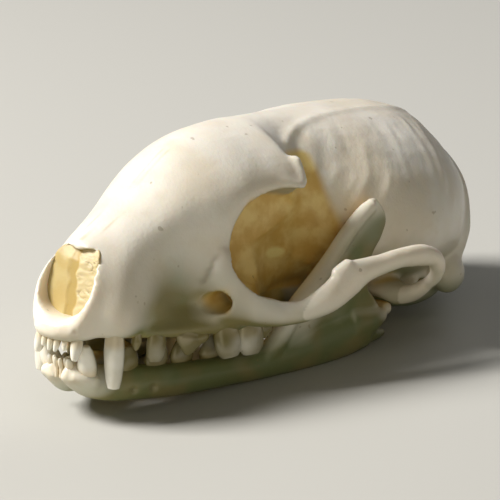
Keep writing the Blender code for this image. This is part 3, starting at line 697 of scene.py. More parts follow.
@dataclass
class Cranium:
    """The face, braincase, cheek arches and ear capsules, grown together."""

    voxel: float = 0.32
    rough_voxel: float = 0.4
    front_end: float = 0.0
    back_end: float = 76.0
    section_step: float = 0.9
    ring_steps: int = 9
    roof: Knots = ((0, 9.6), (4.3, 11.7), (9, 14.3), (13, 17.1), (17, 20.4), (21, 22.9), (27, 24.9),
                   (36, 25.9), (44, 26.3), (52, 26.6), (60, 26.6), (67, 25.7), (72, 23.4), (76, 20.0))
    keel: Knots = ((-1, 0.6), (6, 0.8), (15, 1.8), (25, 2.2), (38, 2.6), (42, 3.8), (50, 3.0),
                   (60, 2.6), (70, 3.0), (75, 4.4), (77, 5.5))
    low_half: Knots = ((-1, 1.5), (1, 3.2), (3, 4.2), (6.5, 6.8), (10, 6.7), (14, 7.4), (18, 8.8),
                       (22, 10.2), (26, 10.9), (29, 10.2), (31.5, 7.5), (35, 5.2), (42, 4.6),
                       (48, 7.0), (53, 10), (58, 12), (64, 12.2), (70, 9.8), (74, 7.8), (77, 6.5))
    low_height: Knots = ((-1, 0.8), (10, 0.3), (31, 0.8), (35, 2.2), (42, 3.6), (50, 3.2), (58, 3.8),
                         (64, 4.4), (72, 5.0), (77, 6.5))
    mid_half: Knots = ((-1, 3.2), (1, 4.2), (3, 5.05), (6.5, 7.0), (10, 6.9), (14, 7.3), (18, 8.4),
                       (21, 9.8), (23, 9.4), (26, 7.6), (30, 6.6), (34, 6.5), (38, 7.2), (42, 10.2),
                       (46, 13.6), (52, 16.3), (58, 17.2), (64, 16.0), (69, 13.4), (73, 10.6), (77, 8))
    mid_height: Knots = ((-1, 5.0), (6, 5.5), (14, 6.5), (20, 7.5), (30, 10), (38, 10.4), (46, 9.8),
                         (58, 9.5), (69, 9.6), (77, 10.5))
    high_half: Knots = ((-1, 3.2), (4.5, 3.7), (8, 4.6), (12, 5.4), (16, 6.4), (20, 7.9), (24, 9.4),
                        (29, 10.3), (32, 11.0), (33.6, 11.2), (35.4, 8.9), (38, 8.0), (41, 9.2),
                        (46, 12.0), (52, 13.8), (58, 14.3), (64, 13.4), (69, 11.4), (73, 9.0),
                        (77, 6.0))
    high_drop: Knots = ((-1, 2.2), (8, 2.4), (12, 3.0), (16, 3.8), (20, 4.9), (24, 5.8), (29, 6.2),
                        (33.6, 6.3), (35.4, 6.6), (38, 7.0), (44, 7.2), (52, 7.6), (60, 8.0),
                        (70, 7.0), (77, 5.6))
    canine_root: tuple[Station, ...] = (
        (5.7, 5.9, 1.5, 1.9, 1.9), (5.9, 7.4, 3.2, 1.8, 2.1), (5.6, 9.6, 6.2, 1.3, 1.7),
        (4.9, 11.8, 8.8, 0.7, 1.0))
    premaxilla: tuple[Station, ...] = (
        (-4.2, 3.8, 1.3, 1.0, 1.3), (-2.7, 1.7, 1.0, 1.15, 1.45), (0, 0.9, 0.9, 1.2, 1.35),
        (2.7, 1.7, 1.0, 1.15, 1.45), (4.2, 3.8, 1.3, 1.0, 1.3))
    alveolus: tuple[Station, ...] = (
        (5.4, 8.2, 0.9, 1.1, 1.1), (6.9, 12.4, 0.7, 1.3, 1.2), (8.2, 17.2, 0.7, 1.4, 1.2),
        (9.7, 22.2, 0.8, 1.5, 1.2), (10.2, 27.0, 1.0, 1.4, 1.2))
    cheek_root: tuple[Station, ...] = (
        (8.2, 19.6, 7.0, 2.2, 4.8), (10.6, 22.0, 5.0, 2.1, 4.2), (12.6, 24.6, 3.4, 1.9, 2.8),
        (14.3, 26.8, 2.6, 1.6, 1.9), (15.4, 28.2, 2.5, 1.35, 1.6))
    brow: tuple[Station, ...] = (
        (7.6, 30.6, 19.8, 2.6, 1.6), (10.2, 32.2, 18.9, 1.9, 1.1), (12.4, 33.9, 18.1, 0.75, 0.7))
    temporal_start: tuple[Station, ...] = (
        (12.2, 34.1, 18.4, 0.65, 0.6), (11.2, 34.4, 20.1, 0.65, 0.6), (9.8, 34.7, 21.7, 0.65, 0.55))
    temporal_line: tuple[tuple[float, float], ...] = (
        (8.4, 35.2), (7.0, 36.4), (5.7, 37.6), (4.6, 39.2), (4.0, 41.5), (3.5, 45), (3.2, 50),
        (2.9, 55), (2.9, 60), (2.6, 65), (1.6, 69), (0.6, 71.5))
    temporal_size: tuple[float, float] = (0.75, 0.45)
    temporal_sunk: float = 0.22
    jaw_socket: tuple[Station, ...] = (
        (9.5, 53.8, 3.5, 3.2, 2.0), (13.5, 52.6, 2.9, 2.8, 1.5), (17.6, 51.3, 3.0, 2.0, 1.25),
        (19.3, 51.0, 3.7, 1.5, 1.15), (20.6, 50.9, 4.6, 1.1, 1.05), (21.6, 50.8, 5.4, 0.9, 0.9))
    socket_lip: tuple[Station, ...] = (
        (19.2, 50.6, 3.2, 0.75, 0.9), (17.2, 50.2, 2.5, 0.7, 1.0), (15.0, 50.2, 2.6, 0.7, 0.9))
    neck_crest: tuple[Station, ...] = (
        (0, 74.3, 20.3, 1.2, 1.2), (5.6, 73.7, 18.4, 1.1, 1.2), (10.4, 71.9, 15.0, 1.1, 1.2),
        (13.9, 68.6, 10.2, 1.2, 1.3), (15.3, 65.0, 5.8, 1.1, 1.2))
    palate_wing: tuple[Station, ...] = (
        (4.4, 35.0, 2.4, 1.1, 1.6), (4.2, 41.0, 2.2, 1.0, 2.0), (4.2, 46.0, 2.6, 0.8, 1.8))
    paroccipital: tuple[Station, ...] = (
        (10.2, 69.8, 5.0, 2.8, 2.2), (10.6, 69.5, 2.8, 2.0, 1.5), (10.8, 69.0, 1.4, 1.0, 0.8))
    mastoid: tuple[Point, Point] = (
        (15.2, 64.2, 4.0), (2.1, 2.9, 2.8))
    condyle: tuple[Point, Point] = ((5.7, 75.2, 5.8), (2.7, 2.4, 3.6))
    arch: tuple[Station, ...] = (
        (14.9, 27.8, 2.5, 1.5, 1.65), (16.6, 30.2, 2.9, 1.3, 1.45), (18.4, 33.2, 4.7, 1.2, 2.0),
        (19.4, 36.0, 7.1, 1.15, 2.35), (20.1, 38.0, 8.1, 1.15, 1.75), (20.8, 40.0, 8.7, 1.15, 1.45),
        (21.9, 43.0, 9.5, 1.1, 1.4), (22.9, 46.2, 9.8, 1.1, 1.5), (23.4, 48.6, 9.4, 1.1, 1.25),
        (23.4, 49.9, 7.9, 1.05, 1.05), (22.7, 50.6, 6.5, 0.95, 0.95), (21.6, 50.8, 5.4, 0.9, 0.9))
    arch_spur: tuple[Station, ...] = (
        (18.9, 34.7, 7.2, 1.1, 1.9), (19.2, 35.5, 8.6, 0.95, 1.3), (19.3, 36.0, 9.5, 0.75, 0.7))
    capsule: tuple[Point, Point, Point] = (
        (9.0, 61.2, 3.2), (4.8, 7.9, 4.6), (0, 0, -14))
    ear_neck: tuple[Station, ...] = (
        (10.0, 59.2, 2.6, 2.6, 2.3), (12.8, 59.2, 2.7, 2.2, 2.0), (14.6, 59.2, 2.8, 1.9, 1.8))
    nose_low: Point = (0, 0.9, 2.2)
    nose_high: Point = (0, 4.4, 11.5)
    nose_block: Point = (24.0, 12.0, 14.4)
    nose_rim: Knots = ((0.0, 0.35), (1.5, 0.5), (2.9, 1.1), (3.8, 2.1), (4.2, 3.4), (4.22, 4.8),
                       (4.08, 6.2), (3.7, 7.6), (3.1, 8.8), (2.5, 9.4), (1.7, 9.5), (0.9, 9.4), (0.0, 9.15))
    nose_middle: float = 5.2
    nose_depths: Knots = ((-2.0, 1.03), (0.0, 1.0), (3.0, 0.97), (6.0, 0.88), (8.5, 0.62), (9.5, 0.3))
    nose_backwards: Point = (0, 0.997, -0.08)
    orbit: tuple[Station, ...] = (
        (7.2, 32.0, 11.2, 6.6, 5.6), (10.0, 31.4, 11.2, 8.9, 6.7), (12.5, 31.6, 11.2, 9.6, 7.1),
        (17.0, 32.4, 11.2, 10.2, 7.4), (22.0, 33.0, 11.2, 10.6, 7.6))
    orbit_corner: tuple[Station, ...] = (
        (9.5, 26.0, 9.0, 4.4, 3.8), (12.0, 26.6, 8.9, 5.0, 4.2), (17.0, 27.5, 8.6, 5.4, 4.4))
    infraorbital: tuple[Station, ...] = (
        (12.4, 15.8, 3.4, 1.6, 1.6), (10.8, 19.6, 4.0, 1.6, 1.5), (10.0, 25.5, 5.4, 1.5, 1.4))
    socket_hollow: tuple[Point, Point] = (
        (13.6, 51.9, 0.4), (4.4, 1.5, 1.75))
    foramen_magnum: tuple[Point, Point] = ((0, 77.0, 8.6), (4.7, 8.0, 4.3))
    choana: tuple[Point, Point] = ((0, 44.0, 0.6), (2.9, 8.5, 4.2))
    ear_hole: tuple[Station, ...] = (
        (11.4, 59.2, 2.4, 1.0, 1.0), (16.2, 59.2, 2.7, 1.3, 1.25), (18.0, 59.2, 2.8, 1.3, 1.25))
    streak_slant: float = 0.75
    streak_level: float = 16
    streak_height: float = 0.18
    streak_field: Region = Region(x=(5.0, 30, 2), y=(39.5, 71, 6), z=(8, 24.8, 4))
    face_spots: tuple[Spot, ...] = (
        ((8.0, 11.6, 2.2), 3.2, 0.55), ((8.4, 14.8, 5.2), 3.6, 0.6), ((6.5, 4.6, 3.2), 2.4, -0.35))
    temple_spots: tuple[Spot, ...] = (
        ((10.6, 47.0, 16.5), 5.0, 0.45), ((9.6, 44.5, 20.0), 4.0, 0.3),
        ((14.2, 58.0, 17.5), 5.0, 0.3), ((13.0, 60.0, 21.0), 5.0, -0.25))
    canal_spots: tuple[Spot, ...] = (
        ((9.6, 17.6, 3.9), 1.8, 0.9), ((8.7, 15.6, 3.6), 1.7, 0.45), ((11.2, 22.2, 8.4), 1.8, 0.55))
    orbit_spots: tuple[Spot, ...] = (
        ((7.4, 37.6, 8.2), 1.1, -0.4), ((8.1, 39.6, 7.4), 1.1, -0.45), ((8.6, 41.4, 6.8), 1.0, -0.35))
    pits: tuple[Spot, ...] = (
        ((3.5, 1.0, 1.2), 0.32, 0.28), ((3.2, 0.5, 2.0), 0.26, 0.2), ((0.7, 0.0, 2.2), 0.25, 0.2),
        ((-0.2, 0.2, 2.8), 0.25, 0.2))
    dark_pits: tuple[Point, ...] = (
        (3.5, 1.0, 1.2), (3.2, 0.5, 2.0), (0.7, 0.0, 2.2), (4.6, 5.0, 0.2))
    dark_pit_width: float = 0.2
    scratch: tuple[Point, ...] = ((7.3, 13.8, 10.1), (7.6, 14.9, 9.0))
    scratch_depth: float = 0.08
    sutures: tuple[tuple[tuple[Point, ...], float], ...] = (
        (((0.2, 5, 12.0), (0.3, 12, 16.6), (0.4, 20, 22.4)), 0.16),
        (((1.3, 6.6, 12.4), (1.6, 10.1, 14.9), (2.7, 14.4, 18.0)), 0.16),
        (((16.2, 28.4, 4.6), (16.6, 30.0, 3.0), (17.6, 30.6, 1.6)), 0.18))
    # Bounds of the painted golden glow: the orbit's thin walls, the canal and the palate; and of the painted
    # paler patch.
    gold_back: Knots = ((6.0, 44.5), (12.5, 43.1), (14.5, 42.0), (17.0, 41.1), (19.6, 40.7), (21.4, 40.5),
                        (22.6, 39.3))
    gold_front: Knots = ((2.0, 24.2), (6.0, 23.0), (11.0, 22.6), (16.0, 24.4), (19.0, 27.5), (21.0, 34.4),
                         (22.6, 35.4))
    gold_roof: Knots = ((22, 17.0), (31, 17.0), (34.5, 16.6), (35.6, 21.9))
    gold_wall: Knots = ((22, 11.4), (26, 11.8), (30, 12.0), (33, 12.2), (36, 12.0), (40, 11.9), (44, 13.2))
    gold_space: Region = Region(x=(1.0, 40, 0.5), z=(2.6, 40, 0.8))
    gold_canal: Oval = ((21.5, 4.4), (2.6, 1.7))
    canal_space: Region = Region(x=(7, 11.9, 0.8))
    gold_palate: Region = Region(x=(-1, 6.5, 2), y=(6, 40, 3), z=(-1.0, 4.0, 1.5))
    thin_patch: Oval = ((35.8, 8.4), (1.5, 0.75))
    thin_patch_reach: float = 12
    # Bounds of the painted olive shade: the hollow before the cheek, the tooth edge, below the cheek and the
    # low bone.
    face_hollow: Oval = ((14.6, 3.4), (5.0, 5.4))
    tooth_edge: Region = Region(y=(7.5, 34, 3), z=(-2, 1.4, 1.6))
    cheek_under: Region = Region(y=(22, 40, 5))
    low_bone: Region = Region(y=(20, 80, 12))
    beside_nose: float = 4
    within_arch: float = 17.5

    def section(self, y: float, steps: int) -> list[Vector]:
        """Return the outline of the core's section at a distance back."""
        top = line(self.roof, y)
        side = [(line(self.low_half, y) * WIDTH_SCALE, line(self.low_height, y)),
                (line(self.mid_half, y) * WIDTH_SCALE, line(self.mid_height, y)),
                (line(self.high_half, y) * WIDTH_SCALE, top - line(self.high_drop, y))]
        outline = [(0, line(self.keel, y)), *side, (0, top), *[(-x, z) for x, z in side[::-1]]]
        return smooth_points([Vector((x, y, z)) for x, z in outline], steps, True)

    def core(self) -> bpy.types.Object:
        """Skin the whole cranium over its sections."""
        count = round((self.back_end - self.front_end) / self.section_step)
        span = self.back_end - self.front_end
        rows = [self.section(self.front_end + span * i / count, self.ring_steps) for i in range(count + 1)]
        return Bench.rings("core", rows)

    def top(self, x: float, y: float) -> float:
        """Return the height of the core's upper surface above a place."""
        middle = line(self.mid_height, y)
        upper = sorted((p.x, p.z) for p in self.section(y, 6) if p.z > middle and p.x >= 0)
        return float(np.interp(x, [p[0] for p in upper], [p[1] for p in upper]))

    def ridge(self) -> list[Station]:
        """Lay the temporal line over the braincase, on the core's own surface."""
        wide, high = self.temporal_size
        rest = [(x, y, self.top(x, y) - self.temporal_sunk, wide, high) for x, y in self.temporal_line]
        return [*self.temporal_start, *rest]

    def masses(self, side: Side) -> list[bpy.types.Object]:
        """Make the processes, arch and ear capsule of one side."""
        t = Bench.tube
        pieces = [t("canine_root", flipped(self.canine_root, side)),
                  t("alveolus", flipped(self.alveolus, side)),
                  t("cheek_root", flipped(self.cheek_root, side)),
                  t("brow", flipped(self.brow, side)),
                  t("temporal_line", flipped(self.ridge(), side), sides=14),
                  t("jaw_socket", flipped(self.jaw_socket, side)),
                  t("socket_lip", flipped(self.socket_lip, side)),
                  t("neck_crest", flipped(self.neck_crest, side)),
                  t("palate_wing", flipped(self.palate_wing, side)),
                  t("paroccipital", flipped(self.paroccipital, side)),
                  t("ear_neck", flipped(self.ear_neck, side))]
        for name, (centre, radii) in (("mastoid", self.mastoid), ("condyle", self.condyle)):
            pieces.append(Bench.ball(name, (centre[0] * side.value, *centre[1:]), radii))
        centre, radii, turn = self.capsule
        pieces.append(Bench.ball("capsule", (centre[0] * side.value, *centre[1:]), radii,
                                 (turn[0], turn[1] * side.value, turn[2] * side.value)))
        return pieces

    def cheek_arch(self, side: Side) -> list[bpy.types.Object]:
        """Make the slim arch of one side, with its low spur under the eye."""
        return [Bench.tube("arch", flipped(self.arch, side), sides=28, per_span=7),
                Bench.tube("arch_spur", flipped(self.arch_spur, side))]

    def nose_slice(self) -> bpy.types.Object:
        """Make the slanted block that opens the front of the nose."""
        low, high = Vector(self.nose_low), Vector(self.nose_high)
        rise = (high - low).normalized()
        ahead = Vector((0, -rise.z, rise.y))
        centre = (low + high) / 2 + ahead * (self.nose_block[1] / 2)
        lean = -math.degrees(math.atan2(rise.y, rise.z))
        return Bench.block("nose_slice", tuple(centre), self.nose_block, (lean, 0, 0))

    def nose_ring(self, depth: float, scale: float, steps: int = 5) -> list[Vector]:
        """Return the nose opening's outline at a depth behind the face, scaled about its middle."""
        low = Vector(self.nose_low)
        rise = (Vector(self.nose_high) - low).normalized()
        rim = [Vector((x, a, 0)) for x, a in self.nose_rim]
        rim += [Vector((-x, a, 0)) for x, a in self.nose_rim[-2:0:-1]]
        behind = low + Vector(self.nose_backwards) * depth
        middle = self.nose_middle
        return [behind + Vector((p.x * scale, 0, 0)) + rise * (middle + (p.y - middle) * scale)
                for p in smooth_points(rim, steps, True)]

    def hollows(self) -> list[bpy.types.Object]:
        """Make every shape that is cut out of the bone."""
        cutters = [Bench.rings("nose_cavity", [self.nose_ring(*d) for d in self.nose_depths])]
        for side in Side:
            cutters.append(Bench.tube("orbit", flipped(self.orbit, side), sides=48))
            cutters.append(Bench.tube("orbit_corner", flipped(self.orbit_corner, side), sides=40))
            cutters.append(Bench.tube("infraorbital", flipped(self.infraorbital, side)))
            cutters.append(Bench.tube("ear_hole", flipped(self.ear_hole, side)))
            centre, radii = self.socket_hollow
            cutters.append(Bench.ball("socket", (centre[0] * side.value, *centre[1:]), radii))
        cutters.append(Bench.ball("foramen_magnum", *self.foramen_magnum))
        cutters.append(Bench.ball("choana", *self.choana))
        return cutters

    def sculpt(self, obj: bpy.types.Object) -> None:
        """Work the muscle marks, swellings, pits and scratches into the surface."""
        places, normals = Bench.arrays(obj)
        mirrored = places.copy()
        mirrored[:, 0] = np.abs(mirrored[:, 0])
        y, z = places[:, 1], places[:, 2]
        soft = ripple(places, 7.0, 3.1)
        slant = y - self.streak_slant * (z - self.streak_level)
        grain = np.column_stack((slant, 0.16 * (z + self.streak_slant * y), 0.15 * mirrored[:, 0]))
        streaks = ripple(grain, 2.6, 8.3) + 0.45 * ripple(grain, 1.3, 2.6)
        field = self.streak_field.share(mirrored)
        faded = 0.2 + 1.1 * np.clip(ripple(places, 4.0, 6.3) + 0.45, 0, 1)
        lift = self.streak_height * streaks * field * faded
        lift += 0.05 * soft + 0.03 * ripple(places, 2.2, 5.7) * (1 + field)
        places = places + normals * lift[:, None]
        for spots in (self.face_spots, self.temple_spots, self.canal_spots, self.orbit_spots, self.pits):
            for (across, *rest), radius, depth in spots:
                for side in Side:
                    places = dents(places, normals, (((across * side.value, *rest), radius, depth),))
        scratch = along(places, self.scratch, 0.14)
        Bench.put(obj, places - normals * (self.scratch_depth * scratch)[:, None])

    def seams(self, obj: bpy.types.Object) -> np.ndarray:
        """Return how strongly each point lies on a suture, the scratch or a darkened pit."""
        places, _ = Bench.arrays(obj)
        left = places[:, 0] > 0
        places[:, 0] = np.abs(places[:, 0])
        lines = [along(places, path, width) for path, width in self.sutures]
        lines.append(along(places, self.scratch, 0.13) * left)
        for pit in self.dark_pits:
            away = np.linalg.norm(places - np.array(pit), axis=1) / self.dark_pit_width
            lines.append(np.exp(-away ** 2))
        return np.max(lines, axis=0)

    def painted_glow(self, obj: bpy.types.Object) -> tuple[np.ndarray, np.ndarray]:
        """Return the painted golden glow in the orbit's thin walls, in the canal and on the palate, and the
        painted paler patch in the walls.

        Args:
            obj: The finished bone.

        Returns:
            The share of painted golden glow and of the painted yellow patch, for each point.
        """
        places, _ = Bench.arrays(obj)
        places[:, 0] = np.abs(places[:, 0])
        side, y, z = places.T
        edge, front = read_knots(self.gold_back, z), read_knots(self.gold_front, z)
        ceiling, wall = read_knots(self.gold_roof, y), read_knots(self.gold_wall, y)
        painted_gold = within(y - edge, -40, 0.0, 1.6) * within(y - front, 0.0, 60, 0.7)
        painted_gold *= self.gold_space.share(places) * np.clip((ceiling - z) / 0.7 + 0.5, 0, 1)
        painted_gold *= np.clip((wall - side) / 0.9 + 0.5, 0, 1)
        canal = np.exp(-from_oval(places, self.gold_canal) ** 2) * self.canal_space.share(places)
        painted_gold = np.maximum(painted_gold, 0.85 * canal)
        painted_gold = np.maximum(painted_gold, 0.7 * self.gold_palate.share(places))
        painted_glow_patch = np.clip(1.7 - 1.2 * from_oval(places, self.thin_patch), 0, 1) * (side < self.thin_patch_reach)
        return painted_gold, painted_glow_patch

    def painted_shade(self, obj: bpy.types.Object) -> np.ndarray:
        """Return the painted olive shade: on the bone's under sides, in the hollow before the cheek, along
        the tooth edge, below the cheek, and on its low and rear parts.
        """
        unfolded, normals = Bench.arrays(obj)
        places = unfolded.copy()
        places[:, 0] = np.abs(places[:, 0])
        side, y, z = places.T
        under = np.clip(-normals[:, 2] * 0.9 + 0.05, 0, 1)
        face = side > self.beside_nose
        painted_recess_shade = np.exp(-from_oval(places, self.face_hollow)) * face
        edge = self.tooth_edge.share(places) * face
        cheek = self.cheek_under.share(places) * np.clip((6.2 - z) / 4, 0, 1)
        cheek *= np.clip((14 - side) / 2.5, 0, 1)
        low = self.low_bone.share(places) * np.clip((8.5 - z) / 7.5, 0, 1) * (side < self.within_arch)
        back = np.clip((y - 68) / 8, 0, 1) * np.clip((19 - z) / 8, 0, 1)
        shares = ((0.7, under), (1.3, painted_recess_shade), (1.1, cheek), (0.5, low), (0.45, back), (0.5, edge))
        cloud = 0.9 + 0.35 * ripple(unfolded, 6.0, 1.9)
        return np.clip(sum(share * part for share, part in shares) * cloud, 0, 1)

    def build(self) -> bpy.types.Object:
        """Grow the cranium, open its hollows and dress it."""
        core = self.core()
        Bench.cut(core, [self.nose_slice()])
        pieces = [core, Bench.tube("premaxilla", list(self.premaxilla))]
        for side in Side:
            pieces += self.masses(side)
        bone = Bench.join("cranium_bone", pieces)
        Bench.melt(bone, self.rough_voxel, 4)
        Bench.cut(bone, self.hollows())
        arches = [piece for side in Side for piece in self.cheek_arch(side)]
        bone = Bench.join("cranium_bone", [bone, *arches])
        Bench.melt(bone, self.voxel, 3)
        self.sculpt(bone)
        # Painted light and shade: recess shade, olive shade, golden glow and its paler patch; the seams are
        # the bone's own sutures, scratch and darkened pits.
        Bench.mark(bone, "painted_recess_shade", shelter(bone, [], CRANIUM_REACH))
        Bench.mark(bone, "seam", self.seams(bone))
        Bench.mark(bone, "painted_shade", self.painted_shade(bone))
        painted_gold, painted_glow_patch = self.painted_glow(bone)
        Bench.mark(bone, "painted_glow", painted_gold)
        Bench.mark(bone, "painted_glow_patch", painted_glow_patch)
        return bone


@dataclass
class NoseScrolls:
    """The thin bone leaves and the partition that fill the nose, as one mass."""

    cranium: Cranium
    voxel: float = 0.13
    front: float = 0.35
    slope: float = 0.2
    back: float = 8.6
    crown: float = 9.6
    brow: float = 8.5
    brow_slope: float = 0.65
    profile: Knots = ((0.0, 0.6), (0.0, 1.05), (0.35, 1.05), (1.0, 0.8))

    def build(self) -> bpy.types.Object:
        """Fill the opening a little way in, and work the leaves and the partition into its front."""
        face = self.cranium
        low = Vector(face.nose_low)
        rise = (Vector(face.nose_high) - low).normalized()
        rows = []
        for share, scale in self.profile:
            row = []
            for p in face.nose_ring(0.0, scale):
                height = (p - low).dot(rise)
                near = self.front + self.slope * max(0.0, self.crown - height)
                near += self.brow_slope * max(0.0, height - self.brow)
                row.append(p + Vector(face.nose_backwards) * (near + (self.back - near) * share))
            rows.append(row)
        mass = Bench.rings("nose_scrolls", rows)
        Bench.melt(mass, self.voxel, 3)
        self.sculpt(mass, low, rise)
        return mass

    def sculpt(self, mass: bpy.types.Object, low: Vector, rise: Vector) -> None:
        """Press the cracks of the leaves in, raise the partition and store where each part lies."""
        places, normals = Bench.arrays(mass)
        ahead = np.clip(-normals[:, 1], 0, 1)
        height = (places - np.array(low)) @ np.array(rise)
        x = places[:, 0]
        middle = 0.1 + 0.3 * np.sin(height * 0.55 + 0.4) + 0.5 * ripple(places, 1.5, 7.7)
        band = within(x - middle, -0.9, 0.5, 0.6)
        leaf = np.clip((x - middle - 0.35) / 0.3, 0, 1)
        grain = np.column_stack((x * 0.6, places[:, 1] * 0.6, places[:, 2] * 1.3))
        web = np.abs(ripple(grain, 1.1, 4.9))
        fine = np.abs(ripple(grain, 0.55, 9.2))
        crack = np.clip(1 - web / 0.09, 0, 1) + 0.7 * np.clip(1 - fine / 0.09, 0, 1)
        crack = np.clip(crack * (0.3 + 1.5 * ripple(grain, 1.8, 1.4)), 0, 1) * leaf
        lift = -0.2 * crack + 0.12 * leaf * (ripple(grain, 0.7, 3.3) + 0.3) - 0.12 * band
        lift += 0.05 * ripple(places, 2.0, 5.1)
        Bench.put(mass, places + normals * (lift * ahead)[:, None])
        Bench.mark(mass, "band", band * ahead)
        Bench.mark(mass, "leaf", leaf)
        Bench.mark(mass, "crack", crack * ahead)


# The lower jaw


@dataclass
class Mandible:
    """One half of the lower jaw."""

    side: Side
    voxel: float = 0.24
    body: tuple[Station, ...] = (
        (0.6, 2.5, -4.6, 1.0, 1.1), (1.3, 3.6, -5.0, 1.6, 1.7), (2.1, 6.2, -6.1, 1.9, 2.2),
        (3.4, 9.4, -6.5, 2.2, 2.4), (4.9, 13.0, -6.6, 2.1, 2.3), (6.5, 18.0, -6.6, 1.9, 2.2),
        (8.3, 25.0, -6.1, 1.8, 2.1), (10.0, 31.0, -5.4, 1.8, 2.2), (11.9, 37.0, -3.8, 1.7, 3.0),
        (13.3, 43.0, -2.7, 1.5, 3.2), (14.0, 48.0, -2.0, 1.3, 2.6))
    ramus_low: float = -5.0
    ramus_top: float = 16.3
    ramus_front: Knots = ((-5, 31), (-2, 32.2), (2, 33.8), (7, 37.4), (12, 40.9), (15, 43.4),
                          (16.3, 44.9))
    ramus_back: Knots = ((-5, 46), (-2, 49.6), (0.5, 50.2), (2, 49.0), (3.7, 47.2), (5.5, 46.5),
                         (8.3, 46.8), (11, 48.1), (12.6, 48.6), (14.3, 48.0), (15.5, 46.8),
                         (16.3, 45.9))
    ramus_centre: Knots = ((-5, 11.1), (0, 11.9), (6, 13.3), (12, 14.5), (16.8, 15.3))
    ramus_half: Knots = ((-5, 1.2), (2, 0.9), (10, 0.65), (16.8, 0.45))
    ramus_spread: float = 0.12
    front_edge: tuple[Station, ...] = (
        (10.2, 30.2, -5.6, 1.1, 1.2), (11.0, 31.9, -3.0, 1.5, 1.4), (12.3, 34.4, 2.0, 1.4, 1.15),
        (13.7, 38.2, 7.2, 1.25, 1.05), (14.8, 41.3, 12.0, 1.15, 1.05), (15.4, 43.7, 14.6, 1.05, 1.05),
        (15.6, 45.2, 15.5, 0.9, 0.9))
    canine_root: tuple[Station, ...] = (
        (1.6, 3.0, -5.0, 1.3, 0.9), (2.8, 4.6, -5.6, 1.7, 1.25), (3.0, 6.2, -6.5, 1.3, 1.6),
        (3.6, 8.2, -6.8, 1.5, 1.8), (4.7, 11.5, -6.7, 1.6, 2.1))
    condyle: tuple[Station, ...] = (
        (10.9, 52.0, 0.1, 0.9, 0.95), (12.9, 51.9, 0.2, 1.05, 1.05), (14.8, 51.6, 0.4, 0.9, 0.9))
    condyle_neck: tuple[Station, ...] = (
        (13.9, 44.5, -1.6, 1.4, 2.6), (14.2, 48.4, -1.1, 1.4, 1.8), (13.9, 50.9, -0.4, 1.3, 1.2))
    angle: tuple[Station, ...] = (
        (13.7, 46.0, -3.0, 1.3, 1.8), (13.4, 50.4, -3.3, 1.0, 1.0), (13.0, 53.1, -3.4, 0.6, 0.5))
    muscle_hollow: tuple[Point, Point, Point] = (
        (17.5, 42.4, 0.6), (2.6, 6.8, 5.2), (0, 0, -8))
    gap: float = 0.3
    midline_size: Point = (10, 30, 30)
    midline_centre: tuple[float, float] = (8, -6)
    nerve_holes: tuple[Point, ...] = ((6.0, 10.3, -7.2), (7.0, 13.0, -7.0))
    chin_pit: Spot = ((1.4, 2.8, -6.2), 0.25, 0.25)
    hole_dark_width: float = 0.45
    unshaded_edge_width: float = 1.7
    plate: Region = Region(y=(37.5, 50, 4), z=(-3.0, 14.5, 3))
    low_bone: Region = Region(y=(7, 60, 8))
    gold_inside: Region = Region(y=(4.5, 32, 3), z=(-5.5, 5, 1.5))

    def ramus(self) -> bpy.types.Object:
        """Skin the thin upright plate over level slices."""
        rows = []
        slices, around = 40, 40
        for i in range(slices + 1):
            z = self.ramus_low + (self.ramus_top - self.ramus_low) * i / slices
            y0, y1 = line(self.ramus_front, z), line(self.ramus_back, z)
            row = []
            for k in range(around):
                turn = 2 * math.pi * k / around
                reach = (y0 + y1) / 2 + (y1 - y0) / 2 * math.cos(turn)
                swell = math.copysign(abs(math.sin(turn)) ** 0.6, math.sin(turn))
                lean = (reach - y0) * self.ramus_spread
                row.append(Vector((line(self.ramus_centre, z) + lean + line(self.ramus_half, z) * swell,
                                   reach, z)))
            rows.append(row)
        return Bench.rings("ramus", rows)

    def sculpt(self, obj: bpy.types.Object) -> None:
        """Work the nerve holes, a pit and soft unevenness into the bone."""
        places, normals = Bench.arrays(obj)
        rough = 0.05 * ripple(places, 5.0, 6.1) + 0.025 * ripple(places, 1.8, 4.4)
        places = places + normals * rough[:, None]
        holes = tuple((hole, 0.5, 0.6) for hole in self.nerve_holes)
        Bench.put(obj, dents(places, normals, (*holes, self.chin_pit)))

    def marks(self, obj: bpy.types.Object) -> None:
        """Store the painted olive shade, the painted golden glow on its inner faces, and where it is darkened
        by its nerve holes.
        """
        places, normals = Bench.arrays(obj)
        side = (places[:, 0] - JAW_SHIFT) * self.side.value
        own = np.column_stack((side, places[:, 1], places[:, 2]))
        # Painted olive shade on under sides, the outer plate and the low bone, kept off the front edge.
        under = np.clip(0.15 - normals[:, 2] * 0.8, 0, 1)
        outward = normals[:, 0] * self.side.value
        plate = self.plate.share(places) * np.clip(outward, 0, 1)
        clear = 1 - along(own, [s[:3] for s in self.front_edge], self.unshaded_edge_width)
        low = self.low_bone.share(places) * np.clip((0.5 - places[:, 2]) / 5.0, 0, 1)
        cloud = 0.95 + 0.3 * ripple(places, 6.0, 2.9)
        Bench.mark(obj, "painted_shade", np.clip((0.7 * under + 0.85 * plate * clear + 1.2 * low) * cloud, 0, 1))
        away = [np.linalg.norm(own - np.array(hole), axis=1) / self.hole_dark_width for hole in self.nerve_holes]
        Bench.mark(obj, "seam", np.max([np.exp(-a ** 2) for a in away], axis=0))
        # Painted golden glow on the inner faces.
        inner = self.gold_inside.share(places) * np.clip(-outward * 1.5, 0, 1)
        Bench.mark(obj, "painted_glow", 0.8 * inner)

